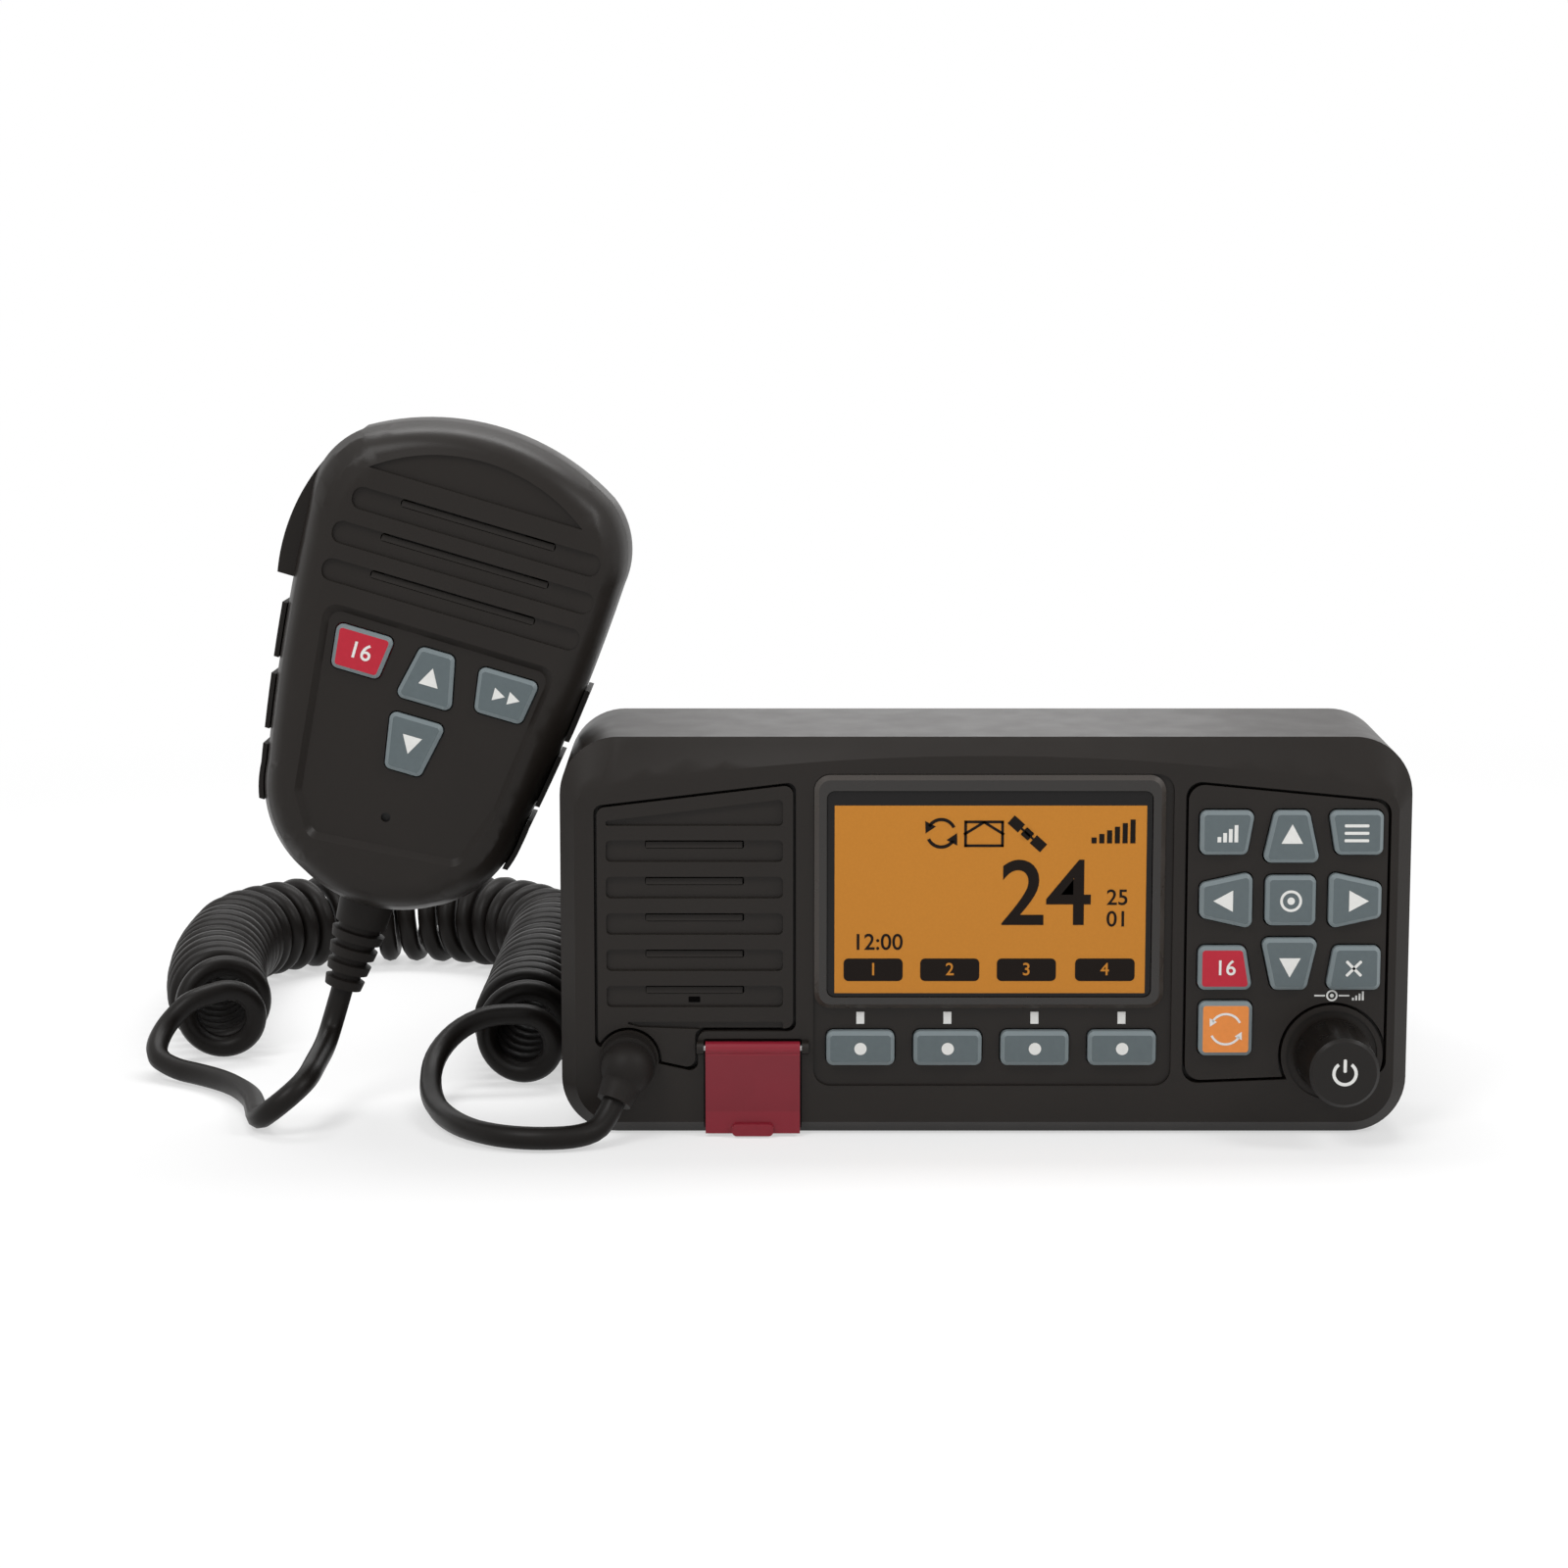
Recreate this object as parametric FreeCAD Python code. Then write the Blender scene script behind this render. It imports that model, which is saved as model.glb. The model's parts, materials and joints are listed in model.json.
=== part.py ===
"""A fixed-mount VHF marine radio with its hand microphone on a curly cord.

Millimetres, +Z up. X runs to the right along the front, Y runs away from the
person using it. The origin is the centre of the radio's base.
"""
import FreeCAD, Part
import math
import os

V = FreeCAD.Vector

# Radio as a whole
RADIO_WIDTH = 160.0
RADIO_HEIGHT = 77.0
RADIO_DEPTH = 150.0
FACE_Y = -RADIO_DEPTH / 2

# The face is laid out from its two flanks, and the display takes the width between them
SPEAKER_SIDE = -RADIO_WIDTH / 2 + 7.0
KEYPAD_SIDE = RADIO_WIDTH / 2 - 4.8
GRILLE_WIDTH = 36.8
PAD_WIDTH = 37.4

# Front housing, a moulded shell that is open at the back
HOUSING_DEPTH = 35.0
FRONT_HEIGHT = 75.5
BOTTOM_CORNER = 10.5
TOP_CORNER = 11.0
FACE_WALL = 3.0
SIDE_WALL = 2.2
CHAMFER_DEPTH = 2.6
FACE_INSET = 2.8
FACE_BOTTOM = 2.3
FACE_TOP_MIDDLE = 72.2
FACE_TOP_SIDE = 66.3
FACE_CORNER = 5.0
LEDGE = 2.0
LEDGE_WIDTH = 2.2
REAR_LIP = 3.0

# Gaps between pieces
GROOVE = 0.55
KEY_GAP = 0.28
STOP_GAP = 0.3
SEAT_GAP = 0.15
PIN_GAP = 0.05

# Panels let into the face
PANEL_RECESS = 0.15
PANEL_FLANGE = 1.6
PANEL_LAND = 1.4

# Speaker grille
GRILLE_LEFT = SPEAKER_SIDE
GRILLE_RIGHT = GRILLE_LEFT + GRILLE_WIDTH
GRILLE_TOP_LEFT, GRILLE_TOP_RIGHT = 62.3, 66.7
GRILLE_FOOT = 17.5
GRILLE_CORNER = 1.6
SLOT_LEFT, SLOT_RIGHT = GRILLE_LEFT + 1.7, GRILLE_RIGHT - 1.9
SLOT_HEIGHT = 4.1
SLOT_PITCH = 6.93
SLOT_TOP = 56.25
SLOT_COUNT = 5
SLOT_DEPTH = 0.9
VENT_LEFT, VENT_RIGHT = GRILLE_LEFT + 9.0, GRILLE_RIGHT - 9.2
VENT_HEIGHT = 1.7
TOP_SLOT_FOOT, TOP_SLOT_LEFT, TOP_SLOT_RIGHT = 59.0, 59.9, 64.0

# Speaker driver behind the grille
SPEAKER_X, SPEAKER_Z = GRILLE_LEFT + 18.4, 41.5
SPEAKER_RADIUS = 17.5
SPEAKER_DEPTH = 13.0
MAGNET_RADIUS = 9.0

# Display tray, frame and window
TRAY_LEFT = GRILLE_RIGHT + 3.8
TRAY_RIGHT = KEYPAD_SIDE - PAD_WIDTH - 2.7
TRAY_BOTTOM, TRAY_TOP = 9.3, 68.8
TRAY_CORNER = 3.2
TRAY_DEPTH = 0.8
FRAME_RIGHT = TRAY_RIGHT - 1.6
FRAME_BOTTOM = 24.3
FRAME_PROUD = 1.0
FRAME_BEVEL = 0.9
GLASS_LEFT, GLASS_RIGHT = TRAY_LEFT + 2.5, TRAY_RIGHT - 4.0
GLASS_BOTTOM, GLASS_TOP = 26.5, 65.7
GLASS_THICKNESS = 1.4
GLASS_CORNER = 1.5
SCREEN_LEFT, SCREEN_RIGHT = GLASS_LEFT + 1.5, GLASS_RIGHT - 1.2
SCREEN_BOTTOM, SCREEN_TOP = 27.3, 62.9
DISPLAY_THICKNESS = 4.5
DISPLAY_RIM = 3.0

# Keys under the display, counted from the left
SOFTKEY_COUNT = 4
SOFTKEY_LEFT, SOFTKEY_RIGHT = TRAY_LEFT + 2.5, TRAY_RIGHT - 2.91
SOFTKEY_SPACING = 3.63
SOFTKEY_WIDTH = (SOFTKEY_RIGHT - SOFTKEY_LEFT - (SOFTKEY_COUNT - 1) * SOFTKEY_SPACING) / SOFTKEY_COUNT
SOFTKEY_PITCH = SOFTKEY_WIDTH + SOFTKEY_SPACING
SOFTKEY_HEIGHT = 6.5
SOFTKEY_BOTTOM = 13.46
SOFTKEY_PROUD = 1.3
MARK_WIDTH, MARK_HEIGHT = 1.5, 2.3
MARK_GAP = 0.35

# Keypad panel and its keys, which are set out about the middle key
PAD_LEFT, PAD_RIGHT = KEYPAD_SIDE - PAD_WIDTH, KEYPAD_SIDE
PAD_TOP_LEFT, PAD_TOP_RIGHT = 67.0, 63.4
PAD_BOTTOM_LEFT, PAD_BOTTOM_RIGHT = 10.3, 11.8
PAD_CORNER = 3.0
KEYS_X, KEYS_Z = KEYPAD_SIDE - 18.2, 45.0
KEY_PROUD = 1.6
KEY_BEVEL = 0.7
KEY_CORNER = 1.3
KEY_FLANGE = 0.8
KEY_FLANGE_THICKNESS = 1.0
KEY_TRAVEL = 0.8
MIDDLE_KEY_HALF = 4.7
ARROW_NEAR, ARROW_FAR = 7.2, 17.0
ARROW_WIDE, ARROW_NARROW = 5.4, 3.2
CORNER_NEAR, CORNER_FAR = 8.7, 17.0
CORNER_OUT, CORNER_IN_NEAR, CORNER_IN_FAR = 17.1, 8.3, 6.9
SWAP_LEFT, SWAP_RIGHT = -16.8, -6.8
SWAP_TOP, SWAP_BOTTOM = -19.3, -29.6

# Mat and circuit board behind the keys
MAT_GAP = 0.25
MAT_THICKNESS = 1.0
BOARD_THICKNESS = 1.6
MAT_LEFT, MAT_RIGHT = TRAY_LEFT + 1.4, KEYPAD_SIDE - 0.8
MAT_BOTTOM, MAT_TOP = 9.6, 65.0
BOARD_LEFT, BOARD_RIGHT = TRAY_LEFT - 0.6, KEYPAD_SIDE + 0.4
BOARD_BOTTOM, BOARD_TOP = 5.0, 69.0
BOARD_TAB_LEFT, BOARD_TAB_TOP = GRILLE_LEFT + 20.0, 17.5
POST_RADIUS = 2.0
POST_PLACES = ((TRAY_LEFT + 21.9, 6.6), (TRAY_RIGHT - 15.1, 6.6))

# Volume knob on its shaft
KNOB_X, KNOB_Z = KEYPAD_SIDE - 9.7, 15.2
KNOB_BASE_RADIUS = 7.2
KNOB_TOP_RADIUS = 6.5
KNOB_LENGTH = 14.5
KNOB_LIFT = 1.3
KNOB_EDGE = 0.6
FLUTE_COUNT = 8
FLUTE_RADIUS = 1.7
FLUTE_BITE = 0.55
KNOB_WELL = 8.6
KNOB_WELL_DEPTH = 0.6
SHAFT_RADIUS = 3.0
SHAFT_IN_KNOB = 10.0
BUSH_RADIUS = 4.6
BUSH_BODY = 6.2
BUSH_LENGTH = 4.3

# Distress button under a hinged cover
COVER_LEFT, COVER_RIGHT = GRILLE_LEFT + 20.3, GRILLE_RIGHT + 1.3
COVER_FOOT = 0.5
COVER_AXIS_Z = 16.8
COVER_AXIS_OUT = 0.9
COVER_BARREL = 1.25
COVER_THICKNESS = 1.6
COVER_WELL_DEPTH = 1.6
COVER_WELL_GAP = 0.35
COVER_PIN_RADIUS = 0.6
COVER_LUG = 1.3
TAB_WIDTH, TAB_HEIGHT, TAB_OUT = 7.8, 2.0, 1.1
BUTTON_Z = 8.6
BUTTON_RADIUS = 5.2
BUTTON_RIM = 6.2
BUTTON_NECK = 3.0

# Cord boot on the radio's face
BOOT_X, BOOT_Z = GRILLE_LEFT + 5.7, 14.2
BOOT_RADIUS = 5.3
BOOT_OUT = 4.0
BOOT_ISLAND = 5.75
BOOT_NECK = 3.0
BOOT_NOSE_RADIUS = 3.3
BOOT_NOSE_LENGTH = 7.0
BOOT_AIM = (-0.35, -0.45, -0.82)

# Die-cast chassis behind the housing
CHASSIS_STEP = 9.0
CHASSIS_WIDTH = RADIO_WIDTH - 2 * CHASSIS_STEP
CHASSIS_TOP = 56.5
CHASSIS_WALL = 3.0
CHASSIS_BACK = 60.0
CHASSIS_CORNER = 4.0
FLANGE_THICKNESS = 3.0
FLANGE_GAP = 0.3
GASKET_THICKNESS = 1.2
TOP_RIB_COUNT = 9
TOP_RIB_HEIGHT = 4.0
TOP_RIB_WIDTH = 2.2
FIN_COUNT = 12
FIN_LEFT, FIN_RIGHT = -CHASSIS_WIDTH / 2 + 49.0, CHASSIS_WIDTH / 2 - 3.0
FIN_WIDTH = 2.2
FIN_DEPTH = 13.0
FIN_BOTTOM, FIN_TOP = 4.0, 54.0
BRACKET_HOLE_Y, BRACKET_HOLE_Z = 8.0, 32.0
BRACKET_HOLE_RADIUS = 2.5
BRACKET_HOLE_LENGTH = 9.0
BRACKET_BOSS_RADIUS = 6.0
SCREW_X = RADIO_WIDTH / 2 - 6.0
SCREW_LOW, SCREW_HIGH = 12.5, RADIO_HEIGHT - 15.0
SCREW_RADIUS = 1.45
SCREW_HEAD = 2.7
SCREW_HEAD_HEIGHT = 2.2
SCREW_LENGTH = 13.0
SCREW_BOSS = 3.0

# Connections at the back
AERIAL_X, AERIAL_Z = -CHASSIS_WIDTH / 2 + 19.0, 40.0
AERIAL_RADIUS = 7.9
AERIAL_LENGTH = 15.0
AERIAL_FLANGE = 12.0
AERIAL_FLANGE_THICKNESS = 2.0
AERIAL_SOCKET_RADIUS = 4.5
GLAND_RADIUS = 6.5
GLAND_LENGTH = 8.0
GLAND_BORE = 3.0
GLAND_Z = 14.0
POWER_GLAND_X, DATA_GLAND_X = -CHASSIS_WIDTH / 2 + 13.0, -CHASSIS_WIDTH / 2 + 33.0

# Main circuit board in the chassis
MAIN_BOARD_WIDTH, MAIN_BOARD_LENGTH = 118.0, 84.0
MAIN_BOARD_Z = 10.0
MAIN_BOARD_BACK = CHASSIS_BACK - 8.0
MAIN_BOARD_Y = MAIN_BOARD_BACK - MAIN_BOARD_LENGTH / 2
STANDOFF_RADIUS = 3.0
CAN_WIDTH, CAN_LENGTH, CAN_HEIGHT = 50.0, 52.0, 9.0
CAN_INSET, CAN_BEHIND = 15.0, 12.0
CHOKE_RADIUS, CHOKE_HEIGHT = 5.0, 8.0
CHOKE_INSETS, CHOKE_BEHIND = (15.0, 33.0), 18.0

# Hand microphone, drawn upright about its own middle, then tilted and placed
MIC_TILT = 16.5
MIC_X = round(-RADIO_WIDTH / 2 - RADIO_HEIGHT * math.tan(math.radians(MIC_TILT)) - 2.6, 1)
MIC_Y, MIC_Z = -50.0, 86.8
MIC_TOP = 47.5
MIC_CHIN = -48.0
MIC_FRONT = 15.4
MIC_BACK = 15.0
MIC_WALL = 2.2
MIC_RINGS = ((0.0, 0.0), (8.0, 0.35), (12.2, 1.7), (14.5, 3.9), (15.4, 7.0))
MIC_BACK_RINGS = ((0.0, 0.0), (6.0, 0.5), (11.0, 2.8), (14.0, 6.5), (15.0, 10.5))
MIC_TOP_SHOULDER = (24.5, 40.7)
MIC_SHOULDER = (29.4, 35.0)
MIC_WIDEST = (31.0, 25.5)
MIC_SIDE = (29.2, 1.0)
MIC_WAIST = (25.4, -26.0)
MIC_JAW = (21.6, -37.3)
MIC_CHIN_SIDE = (13.0, -44.6)
MIC_SLOTS = ((-22.3, 25.9, 28.2), (-24.2, 26.6, 21.0), (-24.2, 26.0, 13.7))
MIC_SLOT_HEIGHT = 4.3
MIC_SLOT_DEPTH = 0.9
MIC_VENT_INSET = 9.0
MIC_VENT_HEIGHT = 1.6
MIC_ARC_HALF, MIC_ARC_FOOT, MIC_ARC_RISE = 20.8, 34.2, 7.0
MIC_WELL = ((-21.6, 7.4), (23.4, 7.0), (20.0, -22.0), (15.8, -34.0), (-13.0, -36.4), (-17.6, -28.5))
MIC_WELL_DEPTH = 1.2
MIC_WELL_CORNER = 3.0
MIC_KEY_PROUD = 1.2
MIC_KEY_TRAVEL = 0.8
MIC_CALL_KEY = ((-18.7, 4.4), (-7.4, 4.4), (-8.4, -4.0), (-17.7, -4.0))
MIC_UP_KEY = ((-2.4, 4.4), (4.3, 4.4), (6.5, -6.0), (-4.6, -6.0))
MIC_DOWN_KEY = ((-4.6, -8.9), (6.3, -8.9), (4.2, -19.7), (-2.8, -19.7))
MIC_SCAN_KEY = ((9.3, 4.0), (21.1, 4.0), (19.8, -4.6), (10.6, -4.6))
MIC_MAT = ((-20.0, 5.8), (22.0, 5.8), (21.0, -6.2), (8.0, -21.2), (-6.4, -21.2), (-19.2, -6.2))
MIC_BOARD = ((-19.5, -24.0), (19.5, -24.0), (21.0, 7.5), (-21.0, 7.5))
MIC_SPEAKER_RADIUS = 14.0
MIC_SPEAKER_Z = 21.0
MIC_SPEAKER_DEPTH = 7.0
MIC_ELEMENT_X, MIC_ELEMENT_Z = 0.0, -29.0
MIC_ELEMENT_RADIUS = 3.2
MIC_ELEMENT_LENGTH = 4.5
PTT_TOP, PTT_BOTTOM = 36.0, 9.5
PTT_PROUD = 2.4
PTT_INNER = -26.8
PTT_WIDTH = 13.0
PTT_MIDDLE = 1.0
PTT_PIN_X, PTT_PIN_Z = -28.6, 30.0
PTT_PIN_RADIUS = 0.8
PTT_CHEEK = 2.2
PTT_SWING = 2.3
PTT_HEAD_ROOM = 6.0
GRIP_RIBS = (-1.0, -14.7, -28.2)
GRIP_HEIGHT = 10.5
GRIP_OUT = 1.0
GRIP_WIDTH = 15.0
STUD_RADIUS = 7.0
STUD_NECK = 4.2
STUD_LENGTH = 6.5
STUD_CAP = 2.2
STUD_Z = 18.0
MIC_SCREWS = ((-18.4, -16.6), (18.4, -16.6), (-20.2, 27.6), (20.2, 27.6))
MIC_POSTS = ((-14.5, -19.5), (14.5, -19.5))
MIC_POST_RADIUS = 1.6
MIC_SCREW_RADIUS = 1.2
MIC_SCREW_HEAD = 2.3
MIC_SCREW_LENGTH = 8.0
MIC_SCREW_SINK = 3.2
MIC_BOOT_TOP_RADIUS = 5.4
MIC_BOOT_TIP_RADIUS = 3.7
MIC_BOOT_TIP = -66.0
MIC_BOOT_RINGS = 4
MIC_BOOT_COLLAR = 5.0
MIC_BOOT_GROOVE = 1.0
MIC_BOOT_NECK = 3.4

# Curly cord: a coil that lies in a U beside the radio, with a tail at each end
CORD_DIAMETER = 4.4
CORD_SIDES = 5
COIL_RADIUS = 8.5
COIL_TURNS = 44
COIL_HEIGHT = COIL_RADIUS + CORD_DIAMETER / 2 + 0.1
COIL_RIGHT_X = -90.5
COIL_RIGHT_Y = -33.5
COIL_BEND_Y = 62.0
COIL_BEND_RADIUS = 36.5
COIL_LEFT_RADIUS = 280.0
COIL_LEFT_ANGLE = 15.0
COIL_START = 0.0
COIL_FINISH = 0.11
MIC_TAIL = ((-125.9, -53.0, 9.7), (-124.4, -59.5, 4.9), (-126.9, -67.0, 2.8), (-133.8, -71.5, 2.5),
            (-141.4, -68.4, 2.4), (-145.8, -61.5, 2.5), (-145.7, -52.9, 2.5), (-147.4, -44.4, 2.4),
            (-153.2, -37.8, 2.4), (-161.4, -34.6, 2.4), (-167.2, -28.2, 2.5), (-169.2, -20.6, 5.7))
MIC_TAIL_LEAD = 7.0
MIC_COIL_LEAD = 5.5
RADIO_TAIL = ((-75.3, -87.5, 2.4), (-82.6, -90.7, 2.4), (-90.6, -89.6, 2.4), (-97.9, -83.6, 2.4),
              (-103.4, -73.6, 2.5), (-107.0, -63.0, 3.6), (-109.3, -51.6, 7.3), (-108.5, -40.3, 14.2))
RADIO_TAIL_LEAD = 5.0
RADIO_COIL_LEAD = 6.5


def box(x0, x1, y0, y1, z0, z1):
    return Part.makeBox(x1 - x0, y1 - y0, z1 - z0, V(x0, y0, z0))


def rod(x, z, radius, y0, y1):
    """A round bar along Y."""
    return Part.makeCylinder(radius, y1 - y0, V(x, y0, z), V(0, 1, 0))


def cone(x, z, y0, y1, radius0, radius1):
    return Part.makeCone(radius0, radius1, y1 - y0, V(x, y0, z), V(0, 1, 0))


def fuse(*shapes):
    whole = shapes[0]
    for shape in shapes[1:]:
        whole = whole.fuse(shape)
    return whole.removeSplitter()


def cut(shape, *tools):
    for tool in tools:
        shape = shape.cut(tool)
    return shape


def rectangle(left, right, bottom, top):
    return [(left, bottom), (right, bottom), (right, top), (left, top)]


def inset(points, distance):
    """Move every side of a polygon inwards, or outwards where the distance is negative."""
    area = sum(a[0] * b[1] - b[0] * a[1] for a, b in zip(points, points[1:] + points[:1]))
    side = 1 if area > 0 else -1
    lines = []
    for a, b in zip(points, points[1:] + points[:1]):
        length = math.hypot(b[0] - a[0], b[1] - a[1])
        along = ((b[0] - a[0]) / length, (b[1] - a[1]) / length)
        lines.append(((a[0] - along[1] * side * distance, a[1] + along[0] * side * distance), along))
    moved = []
    for (p, d), (q, e) in zip(lines[-1:] + lines[:-1], lines):
        cross = d[0] * e[1] - d[1] * e[0]
        t = ((q[0] - p[0]) * e[1] - (q[1] - p[1]) * e[0]) / cross
        moved.append((p[0] + t * d[0], p[1] + t * d[1]))
    return moved


def outline(points, radius, y):
    """A closed wire across the plane at y, with its corners rounded."""
    edges = []
    starts, ends, middles = [], [], []
    count = len(points)
    for i, p in enumerate(points):
        a, b = points[i - 1], points[(i + 1) % count]
        la, lb = math.hypot(a[0] - p[0], a[1] - p[1]), math.hypot(b[0] - p[0], b[1] - p[1])
        ua = ((a[0] - p[0]) / la, (a[1] - p[1]) / la)
        ub = ((b[0] - p[0]) / lb, (b[1] - p[1]) / lb)
        half = math.acos(max(-1, min(1, ua[0] * ub[0] + ua[1] * ub[1]))) / 2
        r = min(radius, 0.45 * min(la, lb) * math.tan(half))
        back = r / math.tan(half)
        bisector = (ua[0] + ub[0], ua[1] + ub[1])
        size = math.hypot(*bisector)
        reach = r / math.sin(half) - r
        starts.append((p[0] + ua[0] * back, p[1] + ua[1] * back))
        ends.append((p[0] + ub[0] * back, p[1] + ub[1] * back))
        middles.append((p[0] + bisector[0] / size * reach, p[1] + bisector[1] / size * reach))
    for i in range(count):
        s, m, e = (V(q[0], y, q[1]) for q in (starts[i], middles[i], ends[i]))
        edges.append(Part.Arc(s, m, e).toShape())
        following = starts[(i + 1) % count]
        edges.append(Part.makeLine(e, V(following[0], y, following[1])))
    return Part.Wire(edges)


def plate(points, radius, y0, y1):
    return Part.Face(outline(points, radius, y0)).extrude(V(0, y1 - y0, 0))


def bevelled(points, radius, front, back, bevel):
    """A plate whose front edges slope in by the bevel."""
    wires = [outline(inset(points, bevel), max(radius - bevel, 0.3), front),
             outline(points, radius, front + bevel)]
    slope = Part.makeLoft(wires, True, True)
    return fuse(slope, plate(points, radius, front + bevel, back))


def cap(points, front, plane, length, foot=0.0):
    """A key: bevelled head, a stem through the panel and a flange behind the plane that stops it.

    A foot carries the stem on towards the mat.
    """
    head = bevelled(points, KEY_CORNER, front, plane + STOP_GAP, KEY_BEVEL)
    stop = plate(inset(points, -KEY_FLANGE), KEY_CORNER, plane + STOP_GAP, plane + STOP_GAP + length)
    if foot:
        back = plane + STOP_GAP + length
        stem = plate(inset(points, KEY_FLANGE), KEY_CORNER, back, back + foot)
        return fuse(head, stop, stem)
    return fuse(head, stop)


def key_hole(points, y0, y1):
    return plate(inset(points, -KEY_GAP), KEY_CORNER + KEY_GAP, y0, y1)


# Levels along Y that several pieces share
INNER_Y = FACE_Y + FACE_WALL
HOUSING_BACK = FACE_Y + HOUSING_DEPTH
PANEL_FRONT = FACE_Y + PANEL_RECESS
PANEL_BACK = INNER_Y + PANEL_LAND
TRAY_FLOOR = FACE_Y + TRAY_DEPTH
PAD_FLANGE_BACK = PANEL_BACK + STOP_GAP + KEY_FLANGE_THICKNESS
MAT_FRONT = PAD_FLANGE_BACK + KEY_TRAVEL + MAT_GAP
MAT_BACK = MAT_FRONT + MAT_THICKNESS
BOARD_BACK = MAT_BACK + BOARD_THICKNESS
COVER_AXIS_Y = FACE_Y - COVER_AXIS_OUT
COVER_FLOOR = FACE_Y + COVER_WELL_DEPTH
FLANGE_FRONT = HOUSING_BACK - FLANGE_THICKNESS
GASKET_FRONT = FLANGE_FRONT - GASKET_THICKNESS
COVER_MIDDLE = (COVER_LEFT + COVER_RIGHT) / 2
WELL_TOP = COVER_AXIS_Z + COVER_BARREL + COVER_WELL_GAP


def grille_outline():
    """The grille's edge: its lower right corner steps round the distress cover."""
    step_z = WELL_TOP + GROOVE + PANEL_LAND
    step_x = COVER_LEFT - GROOVE - PANEL_LAND
    return [(GRILLE_LEFT, GRILLE_FOOT), (BOOT_X, BOOT_Z + 1.2), (step_x, BOOT_Z - 1.6), (step_x, step_z),
            (GRILLE_RIGHT, step_z), (GRILLE_RIGHT, GRILLE_TOP_RIGHT), (GRILLE_LEFT, GRILLE_TOP_LEFT)]


def pad_outline():
    return [(PAD_LEFT, PAD_BOTTOM_LEFT), (PAD_RIGHT, PAD_BOTTOM_RIGHT),
            (PAD_RIGHT, PAD_TOP_RIGHT), (PAD_LEFT, PAD_TOP_LEFT)]


def key_outlines():
    """Each key's outline, by name, set out about the middle key."""
    near, far = ARROW_NEAR, ARROW_FAR
    wide, narrow = ARROW_WIDE, ARROW_NARROW
    up = [(-wide, near), (wide, near), (narrow, far), (-narrow, far)]
    right = [(near, wide), (near, -wide), (far, -narrow), (far, narrow)]
    corner = [(CORNER_IN_NEAR, CORNER_NEAR), (CORNER_OUT, CORNER_NEAR),
              (CORNER_OUT, CORNER_FAR), (CORNER_IN_FAR, CORNER_FAR)]
    half = MIDDLE_KEY_HALF
    shapes = {
        "key_up": up,
        "key_down": [(x, -z) for x, z in up],
        "key_right": right,
        "key_left": [(-x, z) for x, z in right],
        "key_enter": rectangle(-half, half, -half, half),
        "key_menu": corner,
        "key_power_level": [(-x, z) for x, z in corner],
        "key_channel_16": [(-x, -z) for x, z in corner],
        "key_clear": [(x, -z) for x, z in corner],
        "key_swap": rectangle(SWAP_LEFT, SWAP_RIGHT, SWAP_BOTTOM, SWAP_TOP),
    }
    return {name: [(KEYS_X + x, KEYS_Z + z) for x, z in points] for name, points in shapes.items()}


def softkey_outline(number):
    left = SOFTKEY_LEFT + number * SOFTKEY_PITCH
    return rectangle(left, left + SOFTKEY_WIDTH, SOFTKEY_BOTTOM, SOFTKEY_BOTTOM + SOFTKEY_HEIGHT)


def housing_wire(height, y, wall=0.0):
    """The housing's rounded outer edge, or the edge of its hollow."""
    half = RADIO_WIDTH / 2 - wall
    low, high = wall, height - wall
    bottom, top = BOTTOM_CORNER - wall, TOP_CORNER - wall
    slant = math.sqrt(0.5)
    edges = []
    corners = ((half, low, bottom, 1, -1), (half, high, top, 1, 1),
               (-half, high, top, -1, 1), (-half, low, bottom, -1, -1))
    places = []
    for x, z, r, sx, sz in corners:
        centre = (x - sx * r, z - sz * r)
        middle = (centre[0] + sx * r * slant, centre[1] + sz * r * slant)
        flat, upright = (centre[0], z), (x, centre[1])
        places.append((flat, middle, upright) if sx * sz < 0 else (upright, middle, flat))
    for i, (start, middle, end) in enumerate(places):
        following = places[(i + 1) % 4][0]
        s, m, e = (V(q[0], y, q[1]) for q in (start, middle, end))
        edges.append(Part.Arc(s, m, e).toShape())
        edges.append(Part.makeLine(e, V(following[0], y, following[1])))
    return Part.Wire(edges)


def face_wire(y):
    """The flat face's edge, whose top is a shallow arch."""
    half = RADIO_WIDTH / 2 - FACE_INSET
    r = FACE_CORNER
    low, side = FACE_BOTTOM, FACE_TOP_SIDE
    slant = math.sqrt(0.5)
    turn = r * (1 - slant)
    low_r = BOTTOM_CORNER - FACE_INSET
    low_turn = low_r * (1 - slant)

    def at(x, z):
        return V(x, y, z)

    arch_half = half - r
    edges = [
        Part.Arc(at(half - low_r, low), at(half - low_turn, low + low_turn), at(half, low + low_r)).toShape(),
        Part.makeLine(at(half, low + low_r), at(half, side - r)),
        Part.Arc(at(half, side - r), at(half - turn, side - turn * 0.9), at(arch_half, side)).toShape(),
        Part.Arc(at(arch_half, side), at(0, FACE_TOP_MIDDLE), at(-arch_half, side)).toShape(),
        Part.Arc(at(-arch_half, side), at(turn - half, side - turn * 0.9), at(-half, side - r)).toShape(),
        Part.makeLine(at(-half, side - r), at(-half, low + low_r)),
        Part.Arc(at(-half, low + low_r), at(low_turn - half, low + low_turn), at(low_r - half, low)).toShape(),
        Part.makeLine(at(low_r - half, low), at(half - low_r, low)),
    ]
    return Part.Wire(edges)


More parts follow.
